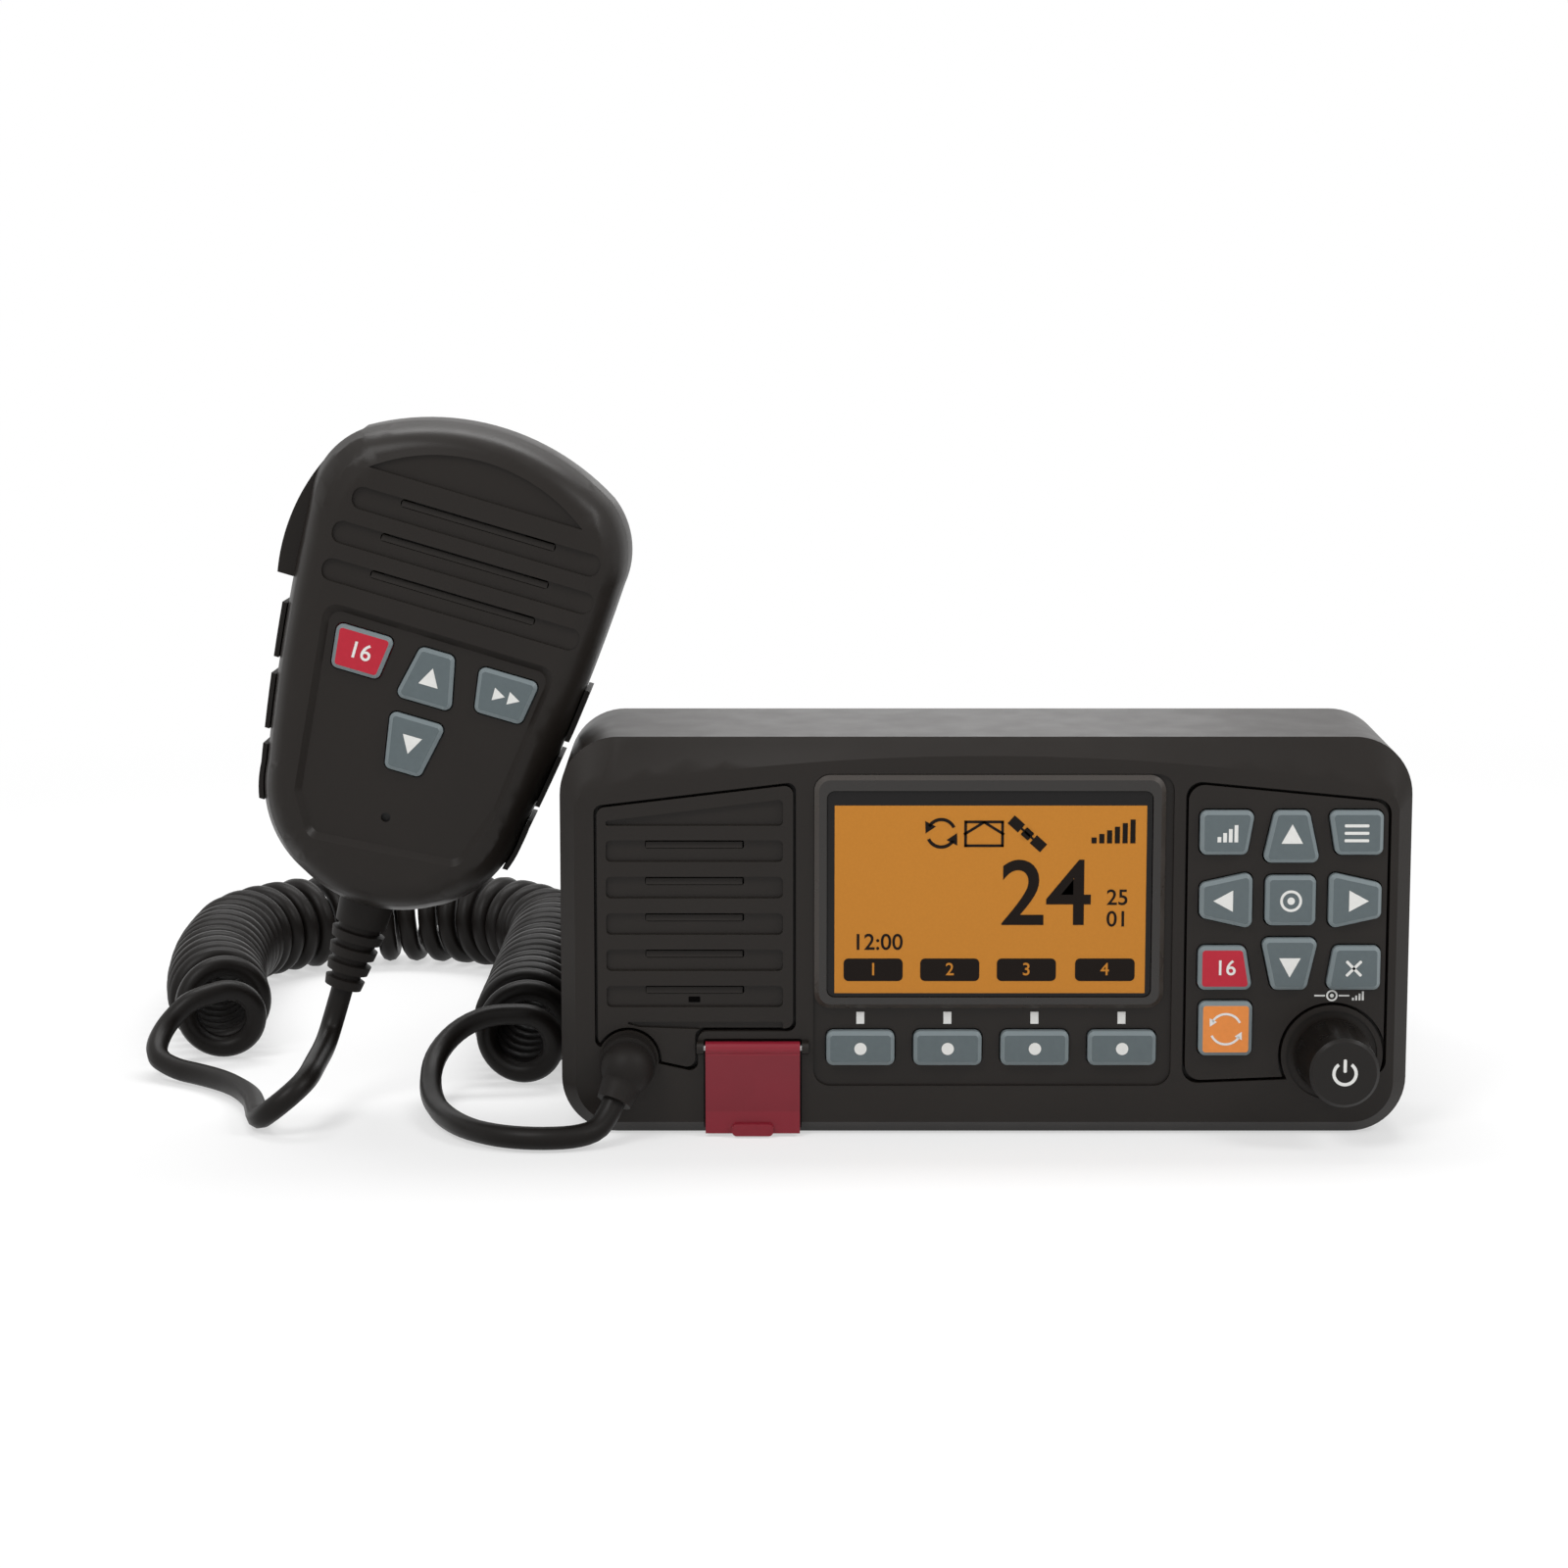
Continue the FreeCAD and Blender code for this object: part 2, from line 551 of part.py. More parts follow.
def front_housing():
    chamfer_back = FACE_Y + CHAMFER_DEPTH
    nose = Part.makeLoft([face_wire(FACE_Y), housing_wire(FRONT_HEIGHT, chamfer_back)], True, True)
    sleeve = Part.makeLoft([housing_wire(FRONT_HEIGHT, chamfer_back),
                            housing_wire(RADIO_HEIGHT, HOUSING_BACK)], True, True)
    body = fuse(nose, sleeve)
    hollow = Part.makeLoft([housing_wire(FRONT_HEIGHT - 0.4, INNER_Y, SIDE_WALL),
                            housing_wire(RADIO_HEIGHT - 0.4, HOUSING_BACK, SIDE_WALL)], True, True)
    body = body.cut(hollow)
    ledge_back = GASKET_FRONT
    ring = Part.Face(housing_wire(RADIO_HEIGHT - 1.0, ledge_back - LEDGE, SIDE_WALL - 0.2))
    ring = ring.cut(Part.Face(housing_wire(RADIO_HEIGHT - 1.0, ledge_back - LEDGE, SIDE_WALL + LEDGE_WIDTH)))
    body = body.fuse(ring.extrude(V(0, LEDGE, 0)))
    for x, z in POST_PLACES:
        body = body.fuse(rod(x, z, POST_RADIUS, INNER_Y, MAT_BACK))
    for x, z in screw_places():
        body = body.fuse(rod(x, z, SCREW_BOSS, GASKET_FRONT - SCREW_LENGTH, GASKET_FRONT))
    for sign, x in ((-1, COVER_LEFT), (1, COVER_RIGHT)):
        near = x + sign * COVER_WELL_GAP
        far = near + sign * COVER_LUG
        body = body.fuse(cover_lug(min(near, far), max(near, far)))
    return cut(body, *housing_cuts())


def cover_lug(x0, x1):
    """A small ear that holds the end of the cover's hinge pin."""
    ear = Part.makeCylinder(COVER_BARREL, x1 - x0, V(x0, COVER_AXIS_Y, COVER_AXIS_Z), V(1, 0, 0))
    foot = box(x0, x1, COVER_AXIS_Y, FACE_Y + 1.0, COVER_AXIS_Z - COVER_BARREL, COVER_AXIS_Z + COVER_BARREL)
    return ear.fuse(foot)


def housing_cuts():
    """Every opening and recess in the housing's face."""
    through0, through1 = FACE_Y - 1, INNER_Y + 1
    cuts = []
    grille = plate(inset(grille_outline(), -GROOVE), GRILLE_CORNER, through0, through1)
    cuts.append(grille.cut(rod(BOOT_X, BOOT_Z, BOOT_ISLAND, through0, through1)))
    pad = plate(inset(pad_outline(), -GROOVE), PAD_CORNER, through0, through1)
    cuts.append(pad.cut(rod(KNOB_X, KNOB_Z, KNOB_WELL + 1.0, through0, through1)))
    cuts.append(rod(KNOB_X, KNOB_Z, KNOB_WELL, through0, FACE_Y + KNOB_WELL_DEPTH))
    cuts.append(rod(KNOB_X, KNOB_Z, BUSH_RADIUS, through0, through1))
    tray = rectangle(TRAY_LEFT, TRAY_RIGHT, TRAY_BOTTOM, TRAY_TOP)
    cuts.append(plate(tray, TRAY_CORNER, through0, TRAY_FLOOR))
    screen = rectangle(SCREEN_LEFT, SCREEN_RIGHT, SCREEN_BOTTOM, SCREEN_TOP)
    cuts.append(plate(inset(screen, -SEAT_GAP), 0.6, through0, through1))
    for number in range(SOFTKEY_COUNT):
        cuts.append(key_hole(softkey_outline(number), through0, through1))
        cuts.append(mark(number, through0, through1, 0.05))
    well = rectangle(COVER_LEFT - COVER_WELL_GAP, COVER_RIGHT + COVER_WELL_GAP, -1.0, WELL_TOP)
    cuts.append(plate(well, 0.4, FACE_Y, COVER_FLOOR))
    cuts.append(rod(COVER_MIDDLE, BUTTON_Z, BUTTON_RADIUS + KEY_GAP, through0, through1))
    cuts.append(rod(BOOT_X, BOOT_Z, BOOT_NECK, through0, through1))
    pin_reach = COVER_WELL_GAP + COVER_LUG
    cuts.append(Part.makeCylinder(COVER_PIN_RADIUS, COVER_RIGHT - COVER_LEFT + 2 * pin_reach,
                                  V(COVER_LEFT - pin_reach, COVER_AXIS_Y, COVER_AXIS_Z), V(1, 0, 0)))
    for x, z in screw_places():
        cuts.append(rod(x, z, SCREW_RADIUS, GASKET_FRONT - SCREW_LENGTH + 2, GASKET_FRONT))
    return cuts


def screw_places():
    return [(sign * SCREW_X, z) for sign in (-1, 1) for z in (SCREW_LOW, SCREW_HIGH)]


def speaker_grille():
    edge = grille_outline()
    front = plate(edge, GRILLE_CORNER, PANEL_FRONT, INNER_Y)
    flange = plate(inset(edge, -PANEL_FLANGE), GRILLE_CORNER, INNER_Y, PANEL_BACK)
    face = front.cut(rod(BOOT_X, BOOT_Z, BOOT_ISLAND + GROOVE, PANEL_FRONT - 1, INNER_Y + 1))
    panel = fuse(face, flange.cut(rod(BOOT_X, BOOT_Z, BOOT_ISLAND - 0.6, INNER_Y - 1, PANEL_BACK + 1)))
    floor = PANEL_FRONT + SLOT_DEPTH
    panel = panel.cut(plate([(SLOT_LEFT, TOP_SLOT_FOOT), (SLOT_RIGHT, TOP_SLOT_FOOT),
                             (SLOT_RIGHT, TOP_SLOT_RIGHT), (SLOT_LEFT, TOP_SLOT_LEFT)],
                            0.8, PANEL_FRONT - 1, floor))
    for number in range(SLOT_COUNT):
        top = SLOT_TOP - number * SLOT_PITCH
        slot = rectangle(SLOT_LEFT, SLOT_RIGHT, top - SLOT_HEIGHT, top)
        vent = rectangle(VENT_LEFT, VENT_RIGHT, top - VENT_HEIGHT, top - 0.05)
        panel = cut(panel, plate(slot, 0.9, PANEL_FRONT - 1, floor),
                    plate(vent, 0.5, PANEL_FRONT - 1, PANEL_BACK + 1))
    last = SLOT_TOP - SLOT_COUNT * SLOT_PITCH
    slant = [(SLOT_LEFT + 2.6, last), (SLOT_LEFT + 6.0, last - 1.0), (COVER_LEFT, last - 1.5),
             (SLOT_RIGHT, last - 1.5), (SLOT_RIGHT, last)]
    return panel.cut(plate(slant, 0.4, PANEL_FRONT - 1, floor))


def speaker_driver():
    """Pressed basket and magnet, turned about the speaker's axis."""
    front = PANEL_BACK
    frame = rod(SPEAKER_X, SPEAKER_Z, SPEAKER_RADIUS, front, front + 2.0)
    basket = cone(SPEAKER_X, SPEAKER_Z, front + 2.0, front + 8.0, SPEAKER_RADIUS - 1.5, MAGNET_RADIUS)
    magnet = rod(SPEAKER_X, SPEAKER_Z, MAGNET_RADIUS, front + 8.0, front + SPEAKER_DEPTH)
    return fuse(frame, basket, magnet)


def keypad_panel():
    edge = pad_outline()
    front = plate(edge, PAD_CORNER, PANEL_FRONT, INNER_Y)
    flange = plate(inset(edge, -PANEL_FLANGE), PAD_CORNER, INNER_Y, PANEL_BACK)
    panel = fuse(front.cut(rod(KNOB_X, KNOB_Z, KNOB_WELL + 1.0 + GROOVE, PANEL_FRONT - 1, INNER_Y + 1)),
                 flange.cut(rod(KNOB_X, KNOB_Z, BUSH_BODY + 1.2, INNER_Y - 1, PANEL_BACK + 1)))
    holes = [key_hole(points, PANEL_FRONT - 1, PANEL_BACK + 1) for points in key_outlines().values()]
    return cut(panel, *holes)


def lcd_frame():
    edge = rectangle(TRAY_LEFT + SEAT_GAP, FRAME_RIGHT, FRAME_BOTTOM, TRAY_TOP - SEAT_GAP)
    ring = bevelled(edge, TRAY_CORNER - SEAT_GAP, FACE_Y - FRAME_PROUD, TRAY_FLOOR, FRAME_BEVEL)
    glass = rectangle(GLASS_LEFT, GLASS_RIGHT, GLASS_BOTTOM, GLASS_TOP)
    return ring.cut(plate(glass, GLASS_CORNER, FACE_Y - FRAME_PROUD - 1, TRAY_FLOOR + 1))


def lcd_lens():
    glass = rectangle(GLASS_LEFT, GLASS_RIGHT, GLASS_BOTTOM, GLASS_TOP)
    return plate(inset(glass, SEAT_GAP), GLASS_CORNER - SEAT_GAP, TRAY_FLOOR - GLASS_THICKNESS, TRAY_FLOOR)


def lcd_module():
    screen = rectangle(SCREEN_LEFT, SCREEN_RIGHT, SCREEN_BOTTOM, SCREEN_TOP)
    cell = plate(screen, 0.4, TRAY_FLOOR, INNER_Y)
    backlight = plate(inset(screen, -DISPLAY_RIM), 0.8, INNER_Y, INNER_Y + DISPLAY_THICKNESS)
    return fuse(cell, backlight)


def mark(number, y0, y1, gap=0.0):
    middle = SOFTKEY_LEFT + number * SOFTKEY_PITCH + SOFTKEY_WIDTH / 2
    low = SOFTKEY_BOTTOM + SOFTKEY_HEIGHT + KEY_FLANGE + MARK_GAP
    return box(middle - MARK_WIDTH / 2 - gap, middle + MARK_WIDTH / 2 + gap, y0, y1,
               low - gap, low + MARK_HEIGHT + gap)


def index_marks():
    """Four light pipes above the keys under the display."""
    return Part.makeCompound([mark(number, TRAY_FLOOR - 0.1, INNER_Y + 0.6) for number in range(SOFTKEY_COUNT)])


def softkey(number):
    length = PAD_FLANGE_BACK - INNER_Y - STOP_GAP - KEY_FLANGE_THICKNESS
    return cap(softkey_outline(number), TRAY_FLOOR - SOFTKEY_PROUD - TRAY_DEPTH, INNER_Y,
               KEY_FLANGE_THICKNESS, length)


def pad_key(name):
    return cap(key_outlines()[name], FACE_Y - KEY_PROUD, PANEL_BACK, KEY_FLANGE_THICKNESS)


def keypad_mat():
    """One silicone sheet behind all the keys, cut out round the display and the knob."""
    sheet = plate(rectangle(MAT_LEFT, MAT_RIGHT, MAT_BOTTOM, MAT_TOP), 2.0, MAT_FRONT, MAT_BACK)
    display = rectangle(MAT_LEFT - 1, PAD_LEFT - PANEL_FLANGE, FRAME_BOTTOM - DISPLAY_RIM, MAT_TOP + 1)
    sheet = sheet.cut(plate(display, 0.5, MAT_FRONT - 1, MAT_BACK + 1))
    return sheet.cut(rod(KNOB_X, KNOB_Z, BUSH_BODY + 1.0, MAT_FRONT - 1, MAT_BACK + 1))


def front_board():
    points = [(BOARD_TAB_LEFT, BOARD_BOTTOM), (BOARD_RIGHT, BOARD_BOTTOM), (BOARD_RIGHT, BOARD_TOP),
              (BOARD_LEFT, BOARD_TOP), (BOARD_LEFT, BOARD_TAB_TOP), (BOARD_TAB_LEFT, BOARD_TAB_TOP)]
    return plate(points, 2.0, MAT_BACK, BOARD_BACK)


def encoder_bush():
    """The rotary switch's body on the board, with the collar that stands in the housing."""
    collar = rod(KNOB_X, KNOB_Z, BUSH_RADIUS - SEAT_GAP, FACE_Y + KNOB_WELL_DEPTH, INNER_Y + 0.5)
    body = rod(KNOB_X, KNOB_Z, BUSH_BODY, INNER_Y + 0.5, MAT_BACK)
    bore = rod(KNOB_X, KNOB_Z, SHAFT_RADIUS + PIN_GAP, FACE_Y - 1, MAT_BACK - 1.0)
    return fuse(collar, body).cut(bore)


def knob_shaft():
    """The shaft that the knob turns on; it can be pushed in."""
    front = FACE_Y - KNOB_LIFT - SHAFT_IN_KNOB
    shaft = rod(KNOB_X, KNOB_Z, SHAFT_RADIUS, front, MAT_BACK - 1.0 - KEY_TRAVEL - MAT_GAP)
    return shaft


def knob():
    """Tapered knob with flutes round its side and a flat, slightly raised top."""
    back = FACE_Y - KNOB_LIFT
    front = back - KNOB_LENGTH
    body = cone(KNOB_X, KNOB_Z, front + KNOB_EDGE, back, KNOB_TOP_RADIUS, KNOB_BASE_RADIUS)
    edge = cone(KNOB_X, KNOB_Z, front, front + KNOB_EDGE, KNOB_TOP_RADIUS - KNOB_EDGE, KNOB_TOP_RADIUS)
    body = fuse(body, edge)
    for number in range(FLUTE_COUNT):
        angle = 2 * math.pi * (number + 0.5) / FLUTE_COUNT
        reach = KNOB_BASE_RADIUS + FLUTE_RADIUS - FLUTE_BITE
        body = body.cut(rod(KNOB_X + reach * math.cos(angle), KNOB_Z + reach * math.sin(angle),
                            FLUTE_RADIUS, front + KNOB_EDGE + 0.8, back - 1.6))
    return body.cut(rod(KNOB_X, KNOB_Z, SHAFT_RADIUS + PIN_GAP, back - SHAFT_IN_KNOB - KEY_GAP, back + 1))


def distress_cover():
    """A flap that hangs over the distress button from its hinge barrel."""
    out = COVER_AXIS_Y - COVER_THICKNESS / 2
    left, right = COVER_LEFT, COVER_RIGHT
    leaf = box(left, right, out, out + COVER_THICKNESS, COVER_FOOT, COVER_AXIS_Z)
    barrel = Part.makeCylinder(COVER_BARREL, right - left, V(left, COVER_AXIS_Y, COVER_AXIS_Z), V(1, 0, 0))
    lip = rectangle(COVER_MIDDLE - TAB_WIDTH / 2, COVER_MIDDLE + TAB_WIDTH / 2, COVER_FOOT - 0.3,
                    COVER_FOOT + TAB_HEIGHT)
    tab = plate(lip, 0.9, out - TAB_OUT, out + COVER_THICKNESS)
    bore = Part.makeCylinder(COVER_PIN_RADIUS + PIN_GAP, right - left + 2,
                             V(left - 1, COVER_AXIS_Y, COVER_AXIS_Z), V(1, 0, 0))
    return fuse(leaf, barrel, tab).cut(bore)


def cover_pin():
    reach = COVER_WELL_GAP + COVER_LUG
    return Part.makeCylinder(COVER_PIN_RADIUS, COVER_RIGHT - COVER_LEFT + 2 * reach,
                             V(COVER_LEFT - reach, COVER_AXIS_Y, COVER_AXIS_Z), V(1, 0, 0))


def distress_button():
    front = FACE_Y + 0.1
    head = rod(COVER_MIDDLE, BUTTON_Z, BUTTON_RADIUS, front, INNER_Y + STOP_GAP)
    rim = rod(COVER_MIDDLE, BUTTON_Z, BUTTON_RIM, INNER_Y + STOP_GAP, INNER_Y + STOP_GAP + KEY_FLANGE_THICKNESS)
    stem = rod(COVER_MIDDLE, BUTTON_Z, BUTTON_NECK, INNER_Y + STOP_GAP + KEY_FLANGE_THICKNESS,
               MAT_BACK - KEY_TRAVEL - MAT_GAP)
    return fuse(head, rim, stem)


def boot_nose():
    """Where the cord leaves the radio's boot, and the way it points."""
    aim = V(*BOOT_AIM)
    aim.normalize()
    heart = V(BOOT_X, FACE_Y - BOOT_OUT, BOOT_Z - 0.6)
    return heart, aim, heart + aim * BOOT_NOSE_LENGTH


def radio_cord_boot():
    heart, aim, _ = boot_nose()
    collar = rod(BOOT_X, BOOT_Z, BOOT_RADIUS, heart.y, FACE_Y)
    dome = Part.makeSphere(BOOT_RADIUS - 0.35, heart)
    nose = Part.makeCone(BOOT_RADIUS - 1.2, BOOT_NOSE_RADIUS, BOOT_NOSE_LENGTH, heart, aim)
    neck = rod(BOOT_X, BOOT_Z, BOOT_NECK - SEAT_GAP, FACE_Y, INNER_Y)
    nut = rod(BOOT_X, BOOT_Z, BOOT_NECK + 1.4, INNER_Y, INNER_Y + 1.3)
    inner = box(BOOT_X - 9, BOOT_X + 9, FACE_Y, FACE_Y + 9, BOOT_Z - 9, BOOT_Z + 9)
    return fuse(fuse(collar, dome, nose).cut(inner), neck, nut)


def rear_chassis():
    half = CHASSIS_WIDTH / 2
    body = plate(rectangle(-half, half, 0, CHASSIS_TOP), CHASSIS_CORNER, HOUSING_BACK, CHASSIS_BACK)
    flange = Part.Face(housing_wire(RADIO_HEIGHT - 0.6, FLANGE_FRONT, SIDE_WALL + FLANGE_GAP))
    body = body.fuse(flange.extrude(V(0, FLANGE_THICKNESS, 0)))
    wall = CHASSIS_WALL
    hollow = rectangle(-half + wall, half - wall, wall, CHASSIS_TOP - wall)
    body = body.cut(plate(hollow, CHASSIS_CORNER - wall + 0.5, FLANGE_FRONT - 1, CHASSIS_BACK - wall))
    pitch = (CHASSIS_WIDTH - 2 * CHASSIS_CORNER - TOP_RIB_WIDTH) / (TOP_RIB_COUNT - 1)
    for number in range(TOP_RIB_COUNT):
        left = -half + CHASSIS_CORNER + number * pitch
        body = body.fuse(box(left, left + TOP_RIB_WIDTH, HOUSING_BACK + 6, CHASSIS_BACK,
                             CHASSIS_TOP - 0.5, CHASSIS_TOP + TOP_RIB_HEIGHT))
    step = (FIN_RIGHT - FIN_LEFT - FIN_WIDTH) / (FIN_COUNT - 1)
    for number in range(FIN_COUNT):
        left = FIN_LEFT + number * step
        body = body.fuse(box(left, left + FIN_WIDTH, CHASSIS_BACK - 0.5, CHASSIS_BACK + FIN_DEPTH,
                             FIN_BOTTOM, FIN_TOP))
    for x, y in standoff_places():
        body = body.fuse(Part.makeCylinder(STANDOFF_RADIUS, MAIN_BOARD_Z - wall + 0.5, V(x, y, wall - 0.5)))
    for sign in (-1, 1):
        inward = V(-sign, 0, 0)
        start = V(sign * half, BRACKET_HOLE_Y, BRACKET_HOLE_Z)
        boss = Part.makeCylinder(BRACKET_BOSS_RADIUS, BRACKET_HOLE_LENGTH + 1.5, start, inward)
        hole = Part.makeCylinder(BRACKET_HOLE_RADIUS, BRACKET_HOLE_LENGTH, start, inward)
        body = body.fuse(boss).cut(hole)
    holes = [rod(x, z, SCREW_RADIUS + 0.1, FLANGE_FRONT - 1, HOUSING_BACK + 1) for x, z in screw_places()]
    holes += [rod(AERIAL_X, AERIAL_Z, AERIAL_RADIUS - 1.4, CHASSIS_BACK - wall - 1, CHASSIS_BACK + 1)]
    holes += [rod(x, GLAND_Z, GLAND_BORE + 1.4, CHASSIS_BACK - wall - 1, CHASSIS_BACK + 1)
              for x in (POWER_GLAND_X, DATA_GLAND_X)]
    return cut(body, *holes)


def chassis_gasket():
    outer = Part.Face(housing_wire(RADIO_HEIGHT - 0.8, GASKET_FRONT, SIDE_WALL + FLANGE_GAP))
    inner = Part.Face(housing_wire(RADIO_HEIGHT - 0.8, GASKET_FRONT, SIDE_WALL + LEDGE_WIDTH))
    ring = outer.cut(inner).extrude(V(0, GASKET_THICKNESS, 0))
    holes = [rod(x, z, SCREW_RADIUS + 0.4, GASKET_FRONT - 1, FLANGE_FRONT + 1) for x, z in screw_places()]
    return cut(ring, *holes)


def chassis_screws():
    screws = []
    for x, z in screw_places():
        shank = rod(x, z, SCREW_RADIUS, HOUSING_BACK - SCREW_LENGTH, HOUSING_BACK)
        head = rod(x, z, SCREW_HEAD, HOUSING_BACK, HOUSING_BACK + SCREW_HEAD_HEIGHT)
        screws.append(fuse(shank, head))
    return Part.makeCompound(screws)


def standoff_places():
    return [(sx * (MAIN_BOARD_WIDTH / 2 - 5), MAIN_BOARD_Y + sy * (MAIN_BOARD_LENGTH / 2 - 5))
            for sx in (-1, 1) for sy in (-1, 1)]


def main_board():
    """Circuit board with the power stage's screening can and two chokes."""
    half, depth = MAIN_BOARD_WIDTH / 2, MAIN_BOARD_LENGTH / 2
    top = MAIN_BOARD_Z + BOARD_THICKNESS
    board = box(-half, half, MAIN_BOARD_Y - depth, MAIN_BOARD_Y + depth, MAIN_BOARD_Z, top)
    can_right, can_back = half - CAN_INSET, MAIN_BOARD_BACK - CAN_BEHIND
    can = box(can_right - CAN_WIDTH, can_right, can_back - CAN_LENGTH, can_back, top, top + CAN_HEIGHT)
    chokes = [Part.makeCylinder(CHOKE_RADIUS, CHOKE_HEIGHT, V(x - half, MAIN_BOARD_BACK - CHOKE_BEHIND, top))
              for x in CHOKE_INSETS]
    return fuse(board, can, *chokes)


def aerial_connector():
    """A standard UHF socket: square flange, threaded barrel and centre socket."""
    y0 = CHASSIS_BACK
    half = AERIAL_FLANGE
    flange = plate(rectangle(AERIAL_X - half, AERIAL_X + half, AERIAL_Z - half, AERIAL_Z + half), 2.0,
                   y0, y0 + AERIAL_FLANGE_THICKNESS)
    barrel = rod(AERIAL_X, AERIAL_Z, AERIAL_RADIUS, y0 + AERIAL_FLANGE_THICKNESS, y0 + AERIAL_LENGTH)
    well = rod(AERIAL_X, AERIAL_Z, AERIAL_RADIUS - 1.6, y0 + 5, y0 + AERIAL_LENGTH + 1)
    insulator = rod(AERIAL_X, AERIAL_Z, AERIAL_SOCKET_RADIUS, y0 + 4, y0 + AERIAL_LENGTH - 1)
    bore = rod(AERIAL_X, AERIAL_Z, 1.9, y0 + 6, y0 + AERIAL_LENGTH)
    tail = rod(AERIAL_X, AERIAL_Z, AERIAL_RADIUS - 1.6, y0 - CHASSIS_WALL - 3, y0)
    return fuse(flange, barrel.cut(well), insulator.cut(bore), tail)


def lead_gland(x):
    """A round cable gland with its bore, standing in the chassis wall."""
    y0 = CHASSIS_BACK
    collar = rod(x, GLAND_Z, GLAND_RADIUS, y0, y0 + 3)
    nose = cone(x, GLAND_Z, y0 + 3, y0 + GLAND_LENGTH, GLAND_RADIUS - 0.8, GLAND_BORE + 1.2)
    tail = rod(x, GLAND_Z, GLAND_BORE + 1.3, y0 - CHASSIS_WALL - 2, y0)
    return fuse(collar, nose, tail).cut(rod(x, GLAND_Z, GLAND_BORE, y0 - CHASSIS_WALL - 3,
                                            y0 + GLAND_LENGTH + 1))


def place_mic(shape):
    """Tilt a piece of the hand microphone and stand it beside the radio."""
    shape = shape.copy()
    shape.rotate(V(0, 0, 0), V(0, 1, 0), MIC_TILT)
    shape.translate(V(MIC_X, MIC_Y, MIC_Z))
    return shape


def mic_point(u, v, w=0.0):
    """A point of the microphone in the radio's frame; w is towards its front."""
    a = math.radians(MIC_TILT)
    return V(MIC_X + u * math.cos(a) + v * math.sin(a), MIC_Y - w, MIC_Z - u * math.sin(a) + v * math.cos(a))


def mic_wire(shrink, y):
    """The microphone's outline in eight arcs, drawn in by a distance."""
    sx = (MIC_WIDEST[0] - shrink) / MIC_WIDEST[0]
    sz = (MIC_TOP - shrink) / MIC_TOP

    def at(point, side=1):
        return V(side * point[0] * sx, y, point[1] * sz)

    chain = [MIC_TOP_SHOULDER, MIC_SHOULDER, MIC_WIDEST, MIC_SIDE, MIC_WAIST, MIC_JAW, MIC_CHIN_SIDE]
    edges = [Part.Arc(at(chain[0], -1), at((0, MIC_TOP)), at(chain[0])).toShape()]
    for i in range(0, 6, 2):
        edges.append(Part.Arc(at(chain[i]), at(chain[i + 1]), at(chain[i + 2])).toShape())
    edges.append(Part.Arc(at(chain[6]), at((0, MIC_CHIN)), at(chain[6], -1)).toShape())
    for i in range(6, 0, -2):
        edges.append(Part.Arc(at(chain[i], -1), at(chain[i - 1], -1), at(chain[i - 2], -1)).toShape())
    return Part.Wire(edges)


def mic_half(rings, direction, wall):
    """Half of the shell: ruled bands between rings, hollowed to a wall."""
    outer = Part.makeLoft([mic_wire(shrink, direction * level) for level, shrink in rings], True, True)
    if not wall:
        return outer
    depth = rings[-1][0] - wall
    inner_rings = ((0.0, wall), (depth * 0.75, wall + 0.8), (depth, rings[-1][1] + 0.6))
    inner = Part.makeLoft([mic_wire(shrink, direction * level) for level, shrink in inner_rings], True, True)
    return outer.cut(inner)


def mic_key_points():
    return {"mic_key_16": MIC_CALL_KEY, "mic_key_up": MIC_UP_KEY, "mic_key_down": MIC_DOWN_KEY,
            "mic_key_scan": MIC_SCAN_KEY}


MIC_FLOOR = -(MIC_FRONT - MIC_WELL_DEPTH)
MIC_INNER = -(MIC_FRONT - MIC_WALL - 0.6)
MIC_MAT_FRONT = MIC_INNER + STOP_GAP + KEY_FLANGE_THICKNESS + MIC_KEY_TRAVEL + MAT_GAP


def ptt_pocket():
    """The space in the left side of both shells that the talk lever fills and swings into."""
    half = PTT_WIDTH / 2 + KEY_GAP
    return box(-MIC_WIDEST[0] - PTT_PROUD - 4, PTT_INNER + PTT_SWING, -PTT_MIDDLE - half, -PTT_MIDDLE + half,
               PTT_BOTTOM - KEY_GAP, PTT_TOP + PTT_HEAD_ROOM)


